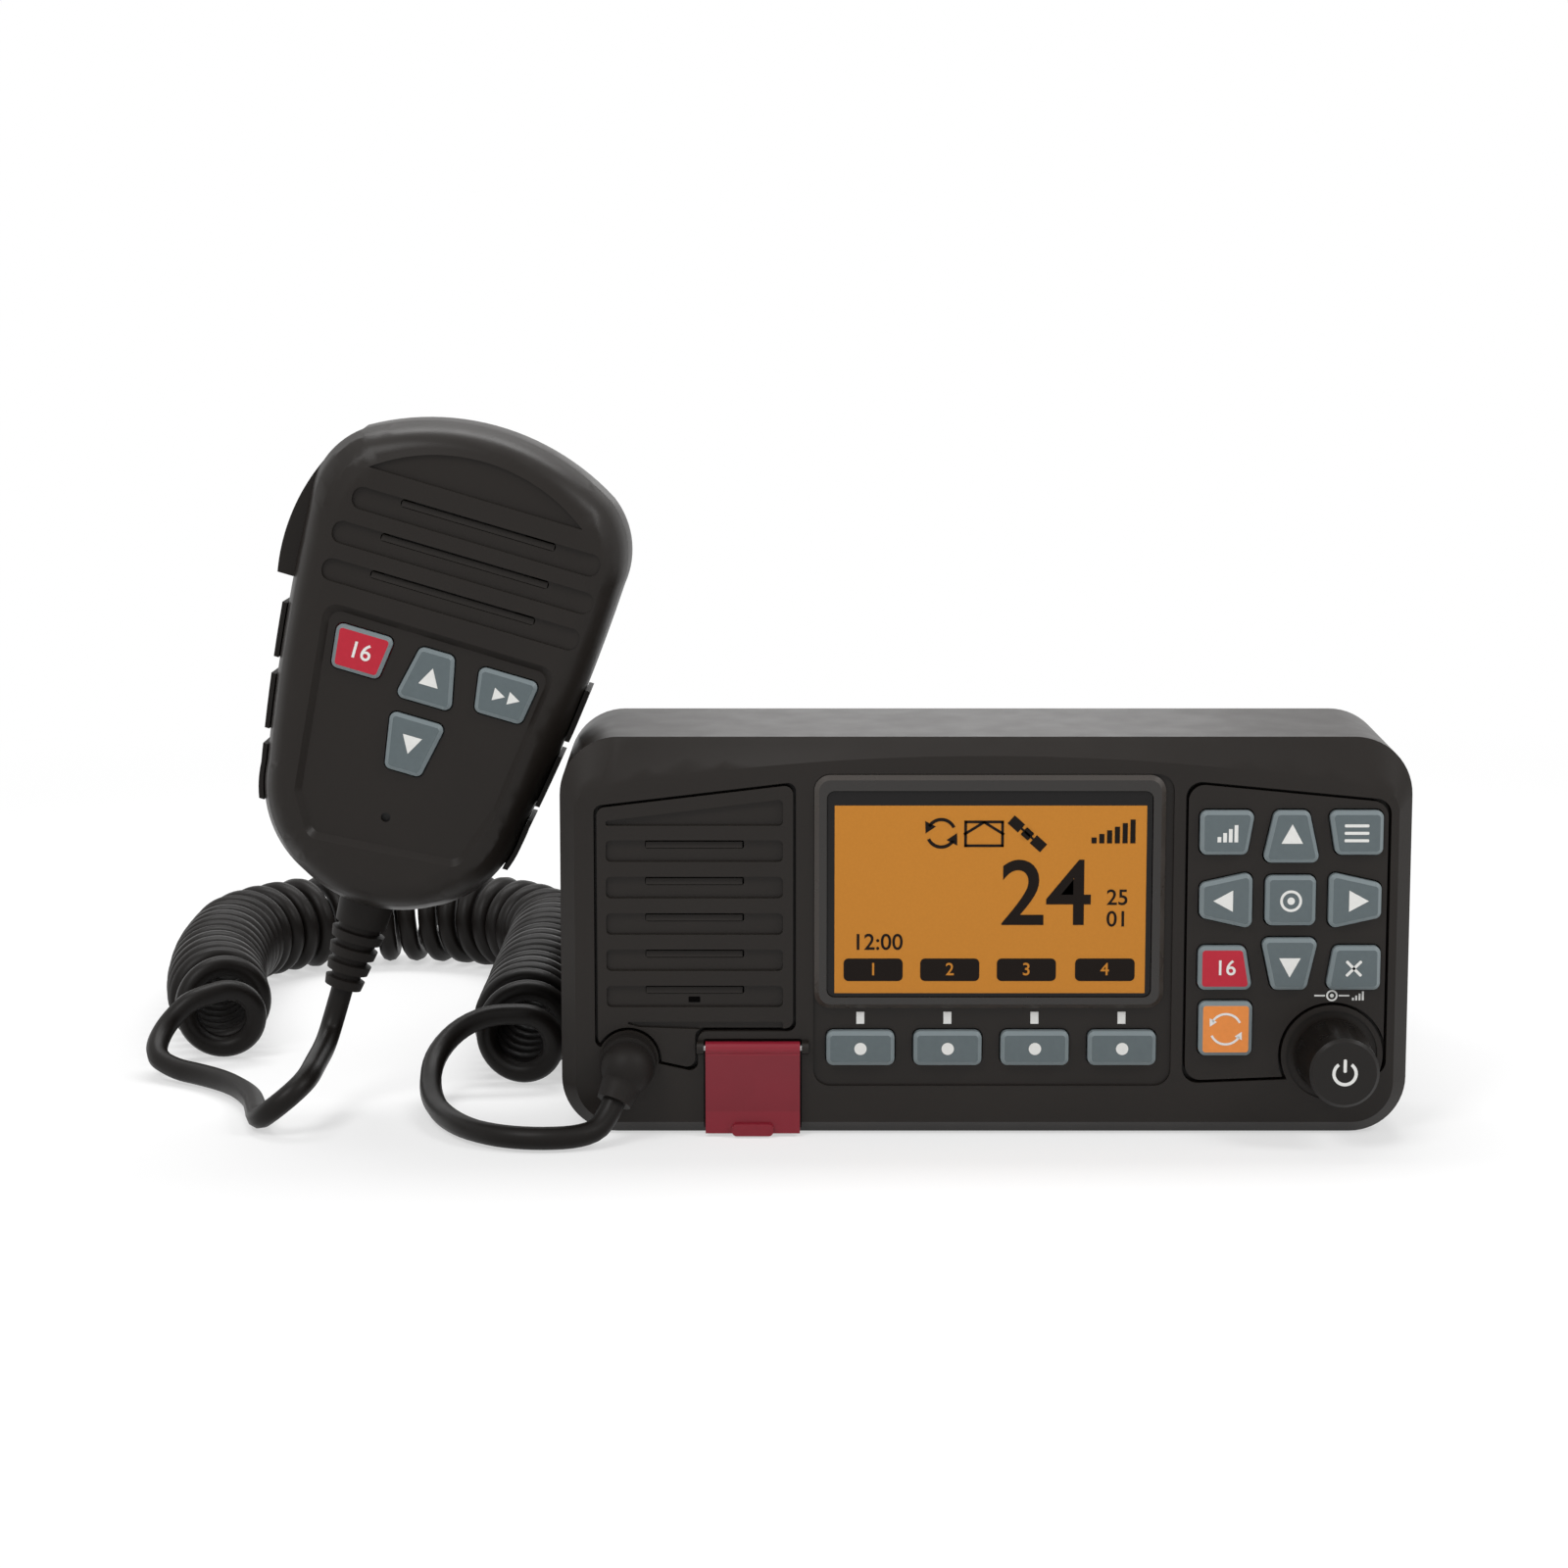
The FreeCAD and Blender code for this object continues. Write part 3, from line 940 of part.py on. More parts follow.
def mic_front_shell():
    shell = mic_half(MIC_RINGS, -1, MIC_WALL)
    deck = plate(list(MIC_WELL), MIC_WELL_CORNER, MIC_FLOOR, MIC_INNER)
    posts = [rod(x, z, MIC_POST_RADIUS, MIC_INNER, MIC_MAT_FRONT + MAT_THICKNESS) for x, z in MIC_POSTS]
    shell = fuse(shell, deck, *posts)
    front = -MIC_FRONT - 1
    well = Part.makeLoft([outline(inset(list(MIC_WELL), -0.6), MIC_WELL_CORNER, -MIC_FRONT - 0.2),
                          outline(inset(list(MIC_WELL), 0.9), MIC_WELL_CORNER - 0.9, MIC_FLOOR)], True, True)
    shell = shell.cut(well)
    floor = -MIC_FRONT + MIC_SLOT_DEPTH
    for left, right, middle in MIC_SLOTS:
        slot = rectangle(left, right, middle - MIC_SLOT_HEIGHT / 2, middle + MIC_SLOT_HEIGHT / 2)
        top = middle + MIC_SLOT_HEIGHT / 2 - 0.1
        vent = rectangle(left + MIC_VENT_INSET, right - MIC_VENT_INSET, top - MIC_VENT_HEIGHT, top)
        shell = cut(shell, plate(slot, MIC_SLOT_HEIGHT / 2 - 0.2, front, floor),
                    plate(vent, MIC_VENT_HEIGHT / 2 - 0.1, front, MIC_INNER + 2))
    arc = Part.Wire([Part.Arc(V(-MIC_ARC_HALF, front, MIC_ARC_FOOT), V(0, front, MIC_ARC_FOOT + MIC_ARC_RISE),
                              V(MIC_ARC_HALF, front, MIC_ARC_FOOT)).toShape(),
                     Part.makeLine(V(MIC_ARC_HALF, front, MIC_ARC_FOOT), V(-MIC_ARC_HALF, front,
                                                                           MIC_ARC_FOOT))])
    shell = shell.cut(Part.Face(arc).extrude(V(0, floor - front, 0)))
    for points in mic_key_points().values():
        shell = shell.cut(key_hole(list(points), front, MIC_INNER + 2))
    shell = shell.cut(rod(MIC_ELEMENT_X, MIC_ELEMENT_Z, 0.9, front, MIC_INNER + 2))
    shell = shell.fuse(ptt_cheek(-1))
    return place_mic(cut(shell, ptt_pocket(), mic_boot_hole(), ptt_pin_bar()))


def ptt_pin_bar():
    reach = PTT_WIDTH / 2 + KEY_GAP + PTT_CHEEK
    return rod(PTT_PIN_X, PTT_PIN_Z, PTT_PIN_RADIUS, -PTT_MIDDLE - reach, -PTT_MIDDLE + reach)


def ptt_cheek(side):
    """The lug inside a shell that holds one end of the talk lever's pin."""
    near = PTT_WIDTH / 2 + KEY_GAP
    ends = sorted((side * near - PTT_MIDDLE, side * (near + PTT_CHEEK) - PTT_MIDDLE))
    rings = MIC_RINGS if side < 0 else MIC_BACK_RINGS
    lug = box(-MIC_WIDEST[0] - 1, PTT_PIN_X + 3.0, ends[0], ends[1], PTT_PIN_Z - 4.0, PTT_PIN_Z + 4.0)
    return lug.common(mic_half(rings, side, 0))


def mic_boot_hole():
    return Part.makeCylinder(MIC_BOOT_NECK + SEAT_GAP, 12, V(0, 0, MIC_CHIN - 4), V(0, 0, 1))


def mic_rear_shell():
    shell = mic_half(MIC_BACK_RINGS, 1, MIC_WALL)
    for x, z in MIC_SCREWS:
        post = rod(x, z, MIC_SCREW_RADIUS + 1.4, 1.0, MIC_BACK - 1.0)
        hole = rod(x, z, MIC_SCREW_RADIUS, 0.5, MIC_BACK + 1)
        head = rod(x, z, MIC_SCREW_HEAD + 0.2, MIC_BACK - MIC_SCREW_SINK, MIC_BACK + 1)
        shell = shell.fuse(post).cut(hole).cut(head)
    shell = shell.cut(rod(0, STUD_Z, STUD_NECK - 1.5, MIC_BACK - MIC_WALL - 1, MIC_BACK + 1))
    shell = shell.fuse(ptt_cheek(1))
    return place_mic(cut(shell, ptt_pocket(), mic_boot_hole(), ptt_pin_bar()))


def mic_screws():
    screws = []
    for x, z in MIC_SCREWS:
        back = MIC_BACK - MIC_SCREW_SINK
        shank = rod(x, z, MIC_SCREW_RADIUS, back - MIC_SCREW_LENGTH, back)
        head = rod(x, z, MIC_SCREW_HEAD, back, back + 1.6)
        screws.append(fuse(shank, head))
    return place_mic(Part.makeCompound(screws))


def mic_key(name):
    points = list(mic_key_points()[name])
    return place_mic(cap(points, MIC_FLOOR - MIC_KEY_PROUD, MIC_INNER, KEY_FLANGE_THICKNESS))


def mic_key_mat():
    return place_mic(plate(list(MIC_MAT), 1.5, MIC_MAT_FRONT, MIC_MAT_FRONT + MAT_THICKNESS))


def mic_board():
    front = MIC_MAT_FRONT + MAT_THICKNESS
    return place_mic(plate(list(MIC_BOARD), 2.0, front, front + BOARD_THICKNESS))


def mic_speaker():
    front = MIC_INNER
    radius = MIC_SPEAKER_RADIUS
    body = rod(0, MIC_SPEAKER_Z, radius, front, front + 2)
    back = cone(0, MIC_SPEAKER_Z, front + 2, front + MIC_SPEAKER_DEPTH, radius - 1.5, radius / 2)
    return place_mic(fuse(body, back))


def mic_element():
    return place_mic(rod(MIC_ELEMENT_X, MIC_ELEMENT_Z, MIC_ELEMENT_RADIUS, MIC_INNER,
                         MIC_INNER + MIC_ELEMENT_LENGTH))


def ptt_lever():
    """Talk lever: a bowed bar that turns on a pin near its top and is pressed in at its foot."""
    half = PTT_WIDTH / 2
    flank = -MIC_WIDEST[0]

    def at(x, z):
        return V(x, -PTT_MIDDLE - half, z)

    foot, shoulder = at(flank - PTT_PROUD + 0.5, PTT_BOTTOM), at(flank + 1.8, PTT_TOP - 1.8)
    bow = at(flank - PTT_PROUD + 0.35, PTT_BOTTOM + 13.0)
    head, heel = at(PTT_INNER, PTT_TOP), at(PTT_INNER, PTT_BOTTOM)
    edges = [Part.Arc(foot, bow, shoulder).toShape(), Part.makeLine(shoulder, head),
             Part.makeLine(head, heel), Part.makeLine(heel, foot)]
    bar = Part.Face(Part.Wire(edges)).extrude(V(0, PTT_WIDTH, 0))
    bore = rod(PTT_PIN_X, PTT_PIN_Z, PTT_PIN_RADIUS + PIN_GAP, -PTT_MIDDLE - half - 1, -PTT_MIDDLE + half + 1)
    return place_mic(bar.cut(bore))


def ptt_pin():
    return place_mic(ptt_pin_bar())


def side_grips():
    """Three rubber pads on each flank."""
    half = GRIP_WIDTH / 2
    outer = Part.Face(mic_wire(-GRIP_OUT, -half)).extrude(V(0, GRIP_WIDTH, 0))
    inner = Part.Face(mic_wire(0, -half)).extrude(V(0, GRIP_WIDTH, 0))
    band = outer.cut(inner)
    pads = []
    for side in (-1, 1):
        for z in GRIP_RIBS:
            x0, x1 = sorted((side * 12.0, side * (MIC_WIDEST[0] + 5)))
            pads.append(band.common(box(x0, x1, -half, half, z - GRIP_HEIGHT / 2, z + GRIP_HEIGHT / 2)))
    return place_mic(Part.makeCompound([solid for pad in pads for solid in pad.Solids]))


def hang_up_stud():
    """The button on the back that slides into a hang-up clip."""
    back = MIC_BACK
    tail = rod(0, STUD_Z, STUD_NECK - 1.5 - SEAT_GAP, back - MIC_WALL - 0.5, back)
    nut = rod(0, STUD_Z, STUD_NECK - 0.5, back - MIC_WALL - 1.7, back - MIC_WALL - 0.1)
    neck = rod(0, STUD_Z, STUD_NECK, back, back + STUD_LENGTH - STUD_CAP)
    head = cone(0, STUD_Z, back + STUD_LENGTH - STUD_CAP, back + STUD_LENGTH, STUD_RADIUS, STUD_RADIUS - 1.0)
    return place_mic(fuse(tail, nut, neck, head))


def mic_cord_boot():
    """Ribbed strain relief below the chin, turned from one profile."""
    top = MIC_CHIN - 0.1
    foot = top - MIC_BOOT_COLLAR
    pitch = (foot - MIC_BOOT_TIP) / MIC_BOOT_RINGS
    profile = [(0, top + 6.0), (MIC_BOOT_NECK, top + 6.0), (MIC_BOOT_NECK, top), (MIC_BOOT_TOP_RADIUS, top),
               (MIC_BOOT_TOP_RADIUS - 0.4, foot)]
    for number in range(MIC_BOOT_RINGS):
        share = (number + 0.5) / MIC_BOOT_RINGS
        radius = MIC_BOOT_TOP_RADIUS + (MIC_BOOT_TIP_RADIUS - MIC_BOOT_TOP_RADIUS) * share
        start = foot - number * pitch
        groove = start - pitch * 0.36
        profile += [(radius - MIC_BOOT_GROOVE, start), (radius - MIC_BOOT_GROOVE, groove),
                    (radius, groove - 0.3), (radius - 0.3, start - pitch)]
    profile.append((0, MIC_BOOT_TIP))
    wire = Part.makePolygon([V(x, 0, z) for x, z in profile + profile[:1]])
    return place_mic(Part.Face(wire).revolve(V(0, 0, 0), V(0, 0, 1), 360))


def coil_lengths():
    leg = COIL_BEND_Y - COIL_RIGHT_Y
    bend = math.pi * COIL_BEND_RADIUS
    return leg, bend, math.radians(COIL_LEFT_ANGLE) * COIL_LEFT_RADIUS


def coil_axis(distance):
    """A point on the coil's middle line, and its direction, from the right end."""
    leg, bend, _ = coil_lengths()
    heart_x = COIL_RIGHT_X - COIL_BEND_RADIUS
    if distance < leg:
        return V(COIL_RIGHT_X, COIL_RIGHT_Y + distance, COIL_HEIGHT), V(0, 1, 0)
    if distance < leg + bend:
        a = (distance - leg) / COIL_BEND_RADIUS
        place = V(heart_x + COIL_BEND_RADIUS * math.cos(a), COIL_BEND_Y + COIL_BEND_RADIUS * math.sin(a),
                  COIL_HEIGHT)
        return place, V(-math.sin(a), math.cos(a), 0)
    a = (distance - leg - bend) / COIL_LEFT_RADIUS
    x = heart_x - COIL_BEND_RADIUS + COIL_LEFT_RADIUS * (1 - math.cos(a))
    return V(x, COIL_BEND_Y - COIL_LEFT_RADIUS * math.sin(a), COIL_HEIGHT), V(math.sin(a), -math.cos(a), 0)


def coil_point(turn):
    """A point on the cord's own middle line after a number of turns."""
    total = sum(coil_lengths())
    place, along = coil_axis(total * (turn - COIL_START) / (COIL_TURNS + COIL_FINISH - COIL_START))
    side = V(along.y, -along.x, 0)
    a = 2 * math.pi * turn
    return place + side * (COIL_RADIUS * math.sin(a)) + V(0, 0, COIL_RADIUS * math.cos(a))


def coil_direction(turn):
    step = 0.0005
    way = coil_point(turn + step) - coil_point(turn - step)
    way.normalize()
    return way


def biarc(p0, t0, p1, t1):
    """Two arcs that leave p0 along t0 and reach p1 along t1."""
    span = p1 - p0
    both = t0 + t1
    share = 2 * (1 - t0.dot(t1))
    reach = (-span.dot(both) + math.sqrt(span.dot(both) ** 2 + share * span.dot(span))) / share
    q0, q1 = p0 + t0 * reach, p1 - t1 * reach
    joint = (q0 + q1) * 0.5
    return [corner_arc(p0, q0, joint), corner_arc(joint, q1, p1)]


def corner_arc(start, corner, end):
    """The arc that touches both legs of a corner whose legs are equal."""
    middle = (start + end) * 0.5
    leg = (start - corner).Length
    half = math.asin((start - middle).Length / leg)
    way = middle - corner
    way.normalize()
    return Part.Arc(start, corner + way * (leg * (1 - math.sin(half)) / math.cos(half)), end).toShape()


def swept(edges, start, direction, up):
    """A tube with flat sides along a chain of edges."""
    side = direction.cross(up)
    side.normalize()
    level = side.cross(direction)
    radius = CORD_DIAMETER / 2
    ring = []
    for number in range(CORD_SIDES + 1):
        a = 2 * math.pi * (number + 0.5) / CORD_SIDES
        ring.append(start + side * (radius * math.cos(a)) + level * (radius * math.sin(a)))
    shell = Part.BRepOffsetAPI.MakePipeShell(Part.Wire(edges))
    shell.add(Part.makePolygon(ring))
    shell.build()
    shell.makeSolid()
    return shell.shape()


def coil_ends():
    """Where the coil's two straight ends stop, and the ways they point, right end first."""
    first, last = coil_direction(COIL_START), coil_direction(COIL_TURNS + COIL_FINISH)
    right = coil_point(COIL_START) - first * CORD_DIAMETER
    left = coil_point(COIL_TURNS + COIL_FINISH) + last * CORD_DIAMETER
    return right, first * -1, left, last


def cord_coil():
    """The curls as one unbroken tube, two arcs to each half turn."""
    right, _, left, _ = coil_ends()
    stops = [COIL_START + 0.5 * n for n in range(int(2 * (COIL_TURNS - COIL_START)) + 1)]
    stops.append(COIL_TURNS + COIL_FINISH)
    edges = [Part.makeLine(right, coil_point(stops[0]))]
    for a, b in zip(stops, stops[1:]):
        edges += biarc(coil_point(a), coil_direction(a), coil_point(b), coil_direction(b))
    edges.append(Part.makeLine(coil_point(stops[-1]), left))
    first = coil_direction(COIL_START)
    coil = swept(edges, right, first, V(0, 1, 0))
    print("coil turns", COIL_TURNS, "least gap to itself", round(coil_gap(), 2), "mm")
    return coil


def coil_gap():
    """The least distance between neighbouring turns, less the cord's diameter."""
    per_turn = 48
    points = [coil_point(COIL_START + n / per_turn) for n in range(int(per_turn * COIL_TURNS))]
    least = min((points[i] - points[j]).Length for i in range(len(points))
                for j in range(i + per_turn // 2, min(i + per_turn * 3 // 2, len(points))))
    return least - CORD_DIAMETER


def tail(points, name):
    """A tube along straight runs joined by arcs as large as the runs allow."""
    edges = []
    radii = []
    here = points[0]
    length = 0.0
    for before, corner, after in zip(points, points[1:], points[2:]):
        one, two = corner - before, after - corner
        shorter = min(one.Length, two.Length)
        turn = one.getAngle(two)
        reach = 0.45 * shorter
        one.normalize()
        two.normalize()
        start, end = corner - one * reach, corner + two * reach
        edges += [Part.makeLine(here, start), corner_arc(start, corner, end)]
        radii.append(reach / math.tan(turn / 2))
        length += (start - here).Length + radii[-1] * turn
        here = end
    edges.append(Part.makeLine(here, points[-1]))
    length += (points[-1] - here).Length
    first = points[1] - points[0]
    first.normalize()
    tube = swept(edges, points[0], first, V(0, 1, 0) if abs(first.y) < 0.9 else V(0, 0, 1))
    section = CORD_SIDES / 2 * (CORD_DIAMETER / 2) ** 2 * math.sin(2 * math.pi / CORD_SIDES)
    print(name, "radii", [round(r, 1) for r in radii], "length", round(length, 1),
          "volume over section times length", round(tube.Volume / (section * length), 4))
    return tube


def cord_tail_handset():
    _, _, left, way = coil_ends()
    tip = mic_point(0, MIC_BOOT_TIP)
    lead = mic_point(0, MIC_BOOT_TIP - MIC_TAIL_LEAD)
    points = [tip, lead] + [V(*p) for p in MIC_TAIL] + [left + way * MIC_COIL_LEAD, left]
    return tail(points, "handset tail")


def cord_tail_radio():
    right, way, _, _ = coil_ends()
    _, aim, nose = boot_nose()
    points = [nose, nose + aim * RADIO_TAIL_LEAD] + [V(*p) for p in RADIO_TAIL]
    return tail(points + [right + way * RADIO_COIL_LEAD, right], "radio tail")


def pieces():
    """Every piece of the radio by its name."""
    made = {
        "front_housing": front_housing(), "speaker_grille": speaker_grille(),
        "speaker_driver": speaker_driver(), "keypad_panel": keypad_panel(), "lcd_frame": lcd_frame(),
        "lcd_lens": lcd_lens(), "lcd_module": lcd_module(), "index_marks": index_marks(),
        "keypad_mat": keypad_mat(), "front_board": front_board(), "encoder_bush": encoder_bush(),
        "knob_shaft": knob_shaft(), "volume_knob": knob(), "distress_cover": distress_cover(),
        "distress_cover_pin": cover_pin(), "distress_button": distress_button(),
        "radio_cord_boot": radio_cord_boot(), "rear_chassis": rear_chassis(),
        "chassis_gasket": chassis_gasket(), "chassis_screws": chassis_screws(), "main_board": main_board(),
        "aerial_connector": aerial_connector(), "power_lead_gland": lead_gland(POWER_GLAND_X),
        "data_lead_gland": lead_gland(DATA_GLAND_X),
        "mic_front_shell": mic_front_shell(), "mic_rear_shell": mic_rear_shell(),
        "mic_screws": mic_screws(), "mic_key_mat": mic_key_mat(), "mic_board": mic_board(),
        "mic_speaker": mic_speaker(), "mic_element": mic_element(), "mic_side_grips": side_grips(),
        "ptt_lever": ptt_lever(), "ptt_pin": ptt_pin(), "hang_up_stud": hang_up_stud(),
        "mic_cord_boot": mic_cord_boot(),
        "cord_coil": cord_coil(), "cord_tail_handset": cord_tail_handset(),
        "cord_tail_radio": cord_tail_radio(),
    }
    for name in key_outlines():
        made[name] = pad_key(name)
    for number in range(SOFTKEY_COUNT):
        made["softkey_%d" % (number + 1)] = softkey(number)
    for name in mic_key_points():
        made[name] = mic_key(name)
    return made


os.makedirs("parts", exist_ok=True)
for name, shape in pieces().items():
    if not shape.isValid() or not shape.Solids:
        print("not sound:", name)
    shape.exportStep("parts/%s.step" % name)
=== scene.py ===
"""Looks of a fixed-mount marine radio with its hand microphone, built around its solids.

Every length is in metres, and places are in the solids' own frame: +X to the right
along the front, -Y towards the person using the radio, +Z up.
"""
import json
import math

import bpy
from mathutils import Matrix, Vector

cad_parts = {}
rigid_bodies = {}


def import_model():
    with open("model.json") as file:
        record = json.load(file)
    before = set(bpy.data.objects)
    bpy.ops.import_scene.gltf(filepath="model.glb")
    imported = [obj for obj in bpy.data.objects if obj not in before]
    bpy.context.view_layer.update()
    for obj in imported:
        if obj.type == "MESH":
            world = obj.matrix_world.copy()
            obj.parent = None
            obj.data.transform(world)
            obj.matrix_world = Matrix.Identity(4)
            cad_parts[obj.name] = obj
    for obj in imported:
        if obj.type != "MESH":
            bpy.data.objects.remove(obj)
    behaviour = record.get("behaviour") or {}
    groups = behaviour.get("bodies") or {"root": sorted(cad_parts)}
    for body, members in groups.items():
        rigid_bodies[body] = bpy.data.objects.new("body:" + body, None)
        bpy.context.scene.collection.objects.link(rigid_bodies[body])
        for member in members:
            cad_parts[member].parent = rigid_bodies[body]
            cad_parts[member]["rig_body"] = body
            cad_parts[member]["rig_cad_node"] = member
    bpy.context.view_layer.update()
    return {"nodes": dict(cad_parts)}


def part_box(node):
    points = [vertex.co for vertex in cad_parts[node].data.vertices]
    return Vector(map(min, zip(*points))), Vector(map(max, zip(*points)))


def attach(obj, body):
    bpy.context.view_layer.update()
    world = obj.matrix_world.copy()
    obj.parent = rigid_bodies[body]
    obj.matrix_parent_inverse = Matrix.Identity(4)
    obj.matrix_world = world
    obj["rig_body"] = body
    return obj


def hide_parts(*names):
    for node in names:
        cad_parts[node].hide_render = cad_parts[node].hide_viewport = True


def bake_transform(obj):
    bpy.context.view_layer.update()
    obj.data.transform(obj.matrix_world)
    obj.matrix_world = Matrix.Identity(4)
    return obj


bl_info = {
    "name": "Marine radio",
    "version": (1, 0, 0),
    "blender": (4, 5, 0),
    "location": "3D View > Sidebar > Radio",
    "description": "Finishes, symbols and curly cord of a fixed-mount marine radio",
    "category": "Object",
}

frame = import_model()
MM = 0.001
SCREEN = (-28.4 * MM, 29.9 * MM, 27.3 * MM, 62.9 * MM)
SCREEN_EDGE = 0.05 * MM
# Heights of the distress cover's painted highlight bands, at the hinge and along the foot.
COVER_HINGE_HIGHLIGHT_BAND = (15.4 * MM, 15.7 * MM)
COVER_FOOT_HIGHLIGHT_BAND = (4.6 * MM, 4.9 * MM)


def tone(red, green, blue):
    """A colour given in screen values from 0 to 255."""
    return tuple(c / 12.92 / 255 if c <= 10 else ((c / 255 + 0.055) / 1.055) ** 2.4 for c in (red, green, blue))


def length(name, description, default):
    return bpy.props.FloatProperty(name=name, description=description, default=default, unit="LENGTH",
                                   precision=5)


def colour(name, description, default):
    return bpy.props.FloatVectorProperty(name=name, description=description, subtype="COLOR", size=3,
                                         min=0, max=1, default=default)


class RadioSizes(bpy.types.PropertyGroup):
    cord_diameter: length("Cord diameter", "Outer diameter of the cord", 4.4 * MM)
    coil_radius: length("Coil radius", "From the coil's middle line to the cord's", 8.5 * MM)
    coil_turns: bpy.props.FloatProperty(name="Coil turns", description="Turns from end to end", default=44.11)
    coil_height: length("Coil height", "Height of the coil's middle line", 10.8 * MM)
    print_thickness: length("Print thickness", "How far a printed symbol stands proud", 0.06 * MM)
    microphone_tilt: bpy.props.FloatProperty(name="Microphone tilt", description="Lean of the hand microphone",
                                             default=math.radians(16.5), subtype="ANGLE")
    camera_lens: bpy.props.FloatProperty(name="Lens", description="Focal length on a 36 mm sensor",
                                         default=79.92)


class RadioColours(bpy.types.PropertyGroup):
    housing: colour("Housing", "Moulded housing and panels", tone(31, 27, 24))
    microphone: colour("Microphone", "Moulded microphone shells", tone(30, 26, 23))
    key_face: colour("Key face", "Front of a silicone key", tone(88, 98, 101))
    # The key edge colour is a painted highlight, laid on the bevels of every key.
    key_edge_highlight: colour("Key edge", "Bevel round a silicone key", tone(122, 132, 135))
    call: colour("Call key", "Front of the two calling-channel keys", tone(176, 28, 48))
    swap: colour("Swap key", "Front of the swap key", tone(222, 134, 62))
    distress: colour("Distress cover", "Hinged cover", tone(118, 20, 36))
    amber: colour("Screen", "Lit display", tone(186, 121, 40))
    ink: colour("Screen ink", "Dark segments of the display", tone(20, 13, 9))
    printed: colour("Print", "Light symbols on keys and panels", tone(222, 222, 219))
    cord: colour("Cord", "Jacket of the cord", tone(18, 15, 13))
    rubber: colour("Rubber", "Boots, grips and gasket", tone(27, 24, 22))
    alloy: colour("Chassis", "Powder coat of the cast chassis", tone(34, 34, 35))


def sizes():
    return bpy.context.scene.radio_sizes


def colours():
    return bpy.context.scene.radio_colours


class Tap:
    """An output of a node. Sums on it add Math nodes."""

    def __init__(self, finish, socket):
        self.finish = finish
        self.socket = socket

    def sum(self, operation, first, second):
        return self.finish.node("ShaderNodeMath", {"operation": operation}, {0: first, 1: second})

    def __add__(self, other):
        return self.sum("ADD", self, other)

    __radd__ = __add__

    def __mul__(self, other):
        return self.sum("MULTIPLY", self, other)

    __rmul__ = __mul__

    def __sub__(self, other):
        return self.sum("SUBTRACT", self, other)

    def __rsub__(self, other):
        return self.sum("SUBTRACT", other, self)

    def __abs__(self):
        return self.sum("ABSOLUTE", self, 0.0)

    def rise(self, low, high):
        """0 below low and 1 above high, with a smooth step between."""
        return self.finish.node("ShaderNodeMapRange", {"interpolation_type": "SMOOTHSTEP"},
                                {"Value": self, "From Min": low, "From Max": high})


class Finish:
    """A material and the nodes that make it."""

    def __init__(self, name, **plain):
        self.material = bpy.data.materials.new(name)
        self.material.use_nodes = True
        self.tree = self.material.node_tree
        self.shader = self.tree.nodes["Principled BSDF"]
        for key, value in plain.items():
            self.put(key.replace("_", " "), value)

    def feed(self, socket, value):
        if isinstance(value, Tap):
            self.tree.links.new(value.socket, socket)
        elif hasattr(value, "__len__") and socket.type == "RGBA" and len(value) == 3:
            socket.default_value = (*value, 1.0)
        else:
            socket.default_value = value

    def put(self, socket, value):
        self.feed(self.shader.inputs[socket], value)
        return self

    def node(self, kind, settings=None, inputs=None, outlet=0):
        made = self.tree.nodes.new(kind)
        for key, value in (settings or {}).items():
            setattr(made, key, value)
        for key, value in (inputs or {}).items():
            self.feed(made.inputs[key], value)
        return Tap(self, made.outputs[outlet])

    def place(self):
        return self.node("ShaderNodeTexCoord", outlet="Object")

    def stretched(self, scale):
        return self.node("ShaderNodeMapping", inputs={"Vector": self.place(), "Scale": scale})

    def noise(self, scale, detail=3.0, vector=None):
        return self.node("ShaderNodeTexNoise", inputs={"Vector": vector or self.place(), "Scale": scale,
                                                      "Detail": detail}, outlet="Fac")

    def axis(self, name):
        return self.node("ShaderNodeSeparateXYZ", inputs={"Vector": self.place()}, outlet=name)

    def facing(self, name):
        normal = self.node("ShaderNodeNewGeometry", outlet="Normal")
        return abs(self.node("ShaderNodeSeparateXYZ", inputs={"Vector": normal}, outlet=name))

    def mix(self, first, second, share):
        return self.node("ShaderNodeMix", {"data_type": "RGBA"}, {0: share, 6: first, 7: second}, outlet=2)

    def bump(self, height, distance, strength=1.0):
        self.put("Normal", self.node("ShaderNodeBump", inputs={"Height": height, "Distance": distance,
                                                              "Strength": strength}))
        return self


def shade(base, factor):
    return tuple(min(1.0, c * factor) for c in base)


def moulded(name, base, roughness=0.44, grain=2400, depth=0.02 * MM, coat=0.0):
    """Injection-moulded plastic: uneven gloss, faint tone changes and a fine spark-eroded grain."""
    finish = Finish(name, Coat_Weight=coat, Coat_Roughness=0.25, Specular_IOR_Level=0.18)
    drift = finish.noise(45, 4)
    finish.put("Base Color", finish.mix(shade(base, 0.86), shade(base, 1.16), drift))
    finish.put("Roughness", finish.noise(160, 2) * 0.12 + (roughness - 0.06))
    return finish.bump(finish.noise(grain, 2), depth, 0.6)


def silicone_key(name, face, edge):
    """A silicone key whose front ends at a bevel painted paler, a painted highlight where light catches its
    edge.
    """
    finish = Finish(name, Specular_IOR_Level=0.3)
    front = finish.facing("Y").rise(0.9, 0.985)
    worn = finish.noise(900, 3)
    # Surfaces that do not face the front get the edge colour: a painted highlight on the bevel.
    body = finish.mix(edge, finish.mix(shade(face, 0.92), shade(face, 1.08), worn), front)
    finish.put("Base Color", body)
    finish.put("Roughness", finish.noise(300, 2) * 0.1 + 0.4)
    return finish.bump(finish.noise(3000, 2), 0.008 * MM, 0.5)


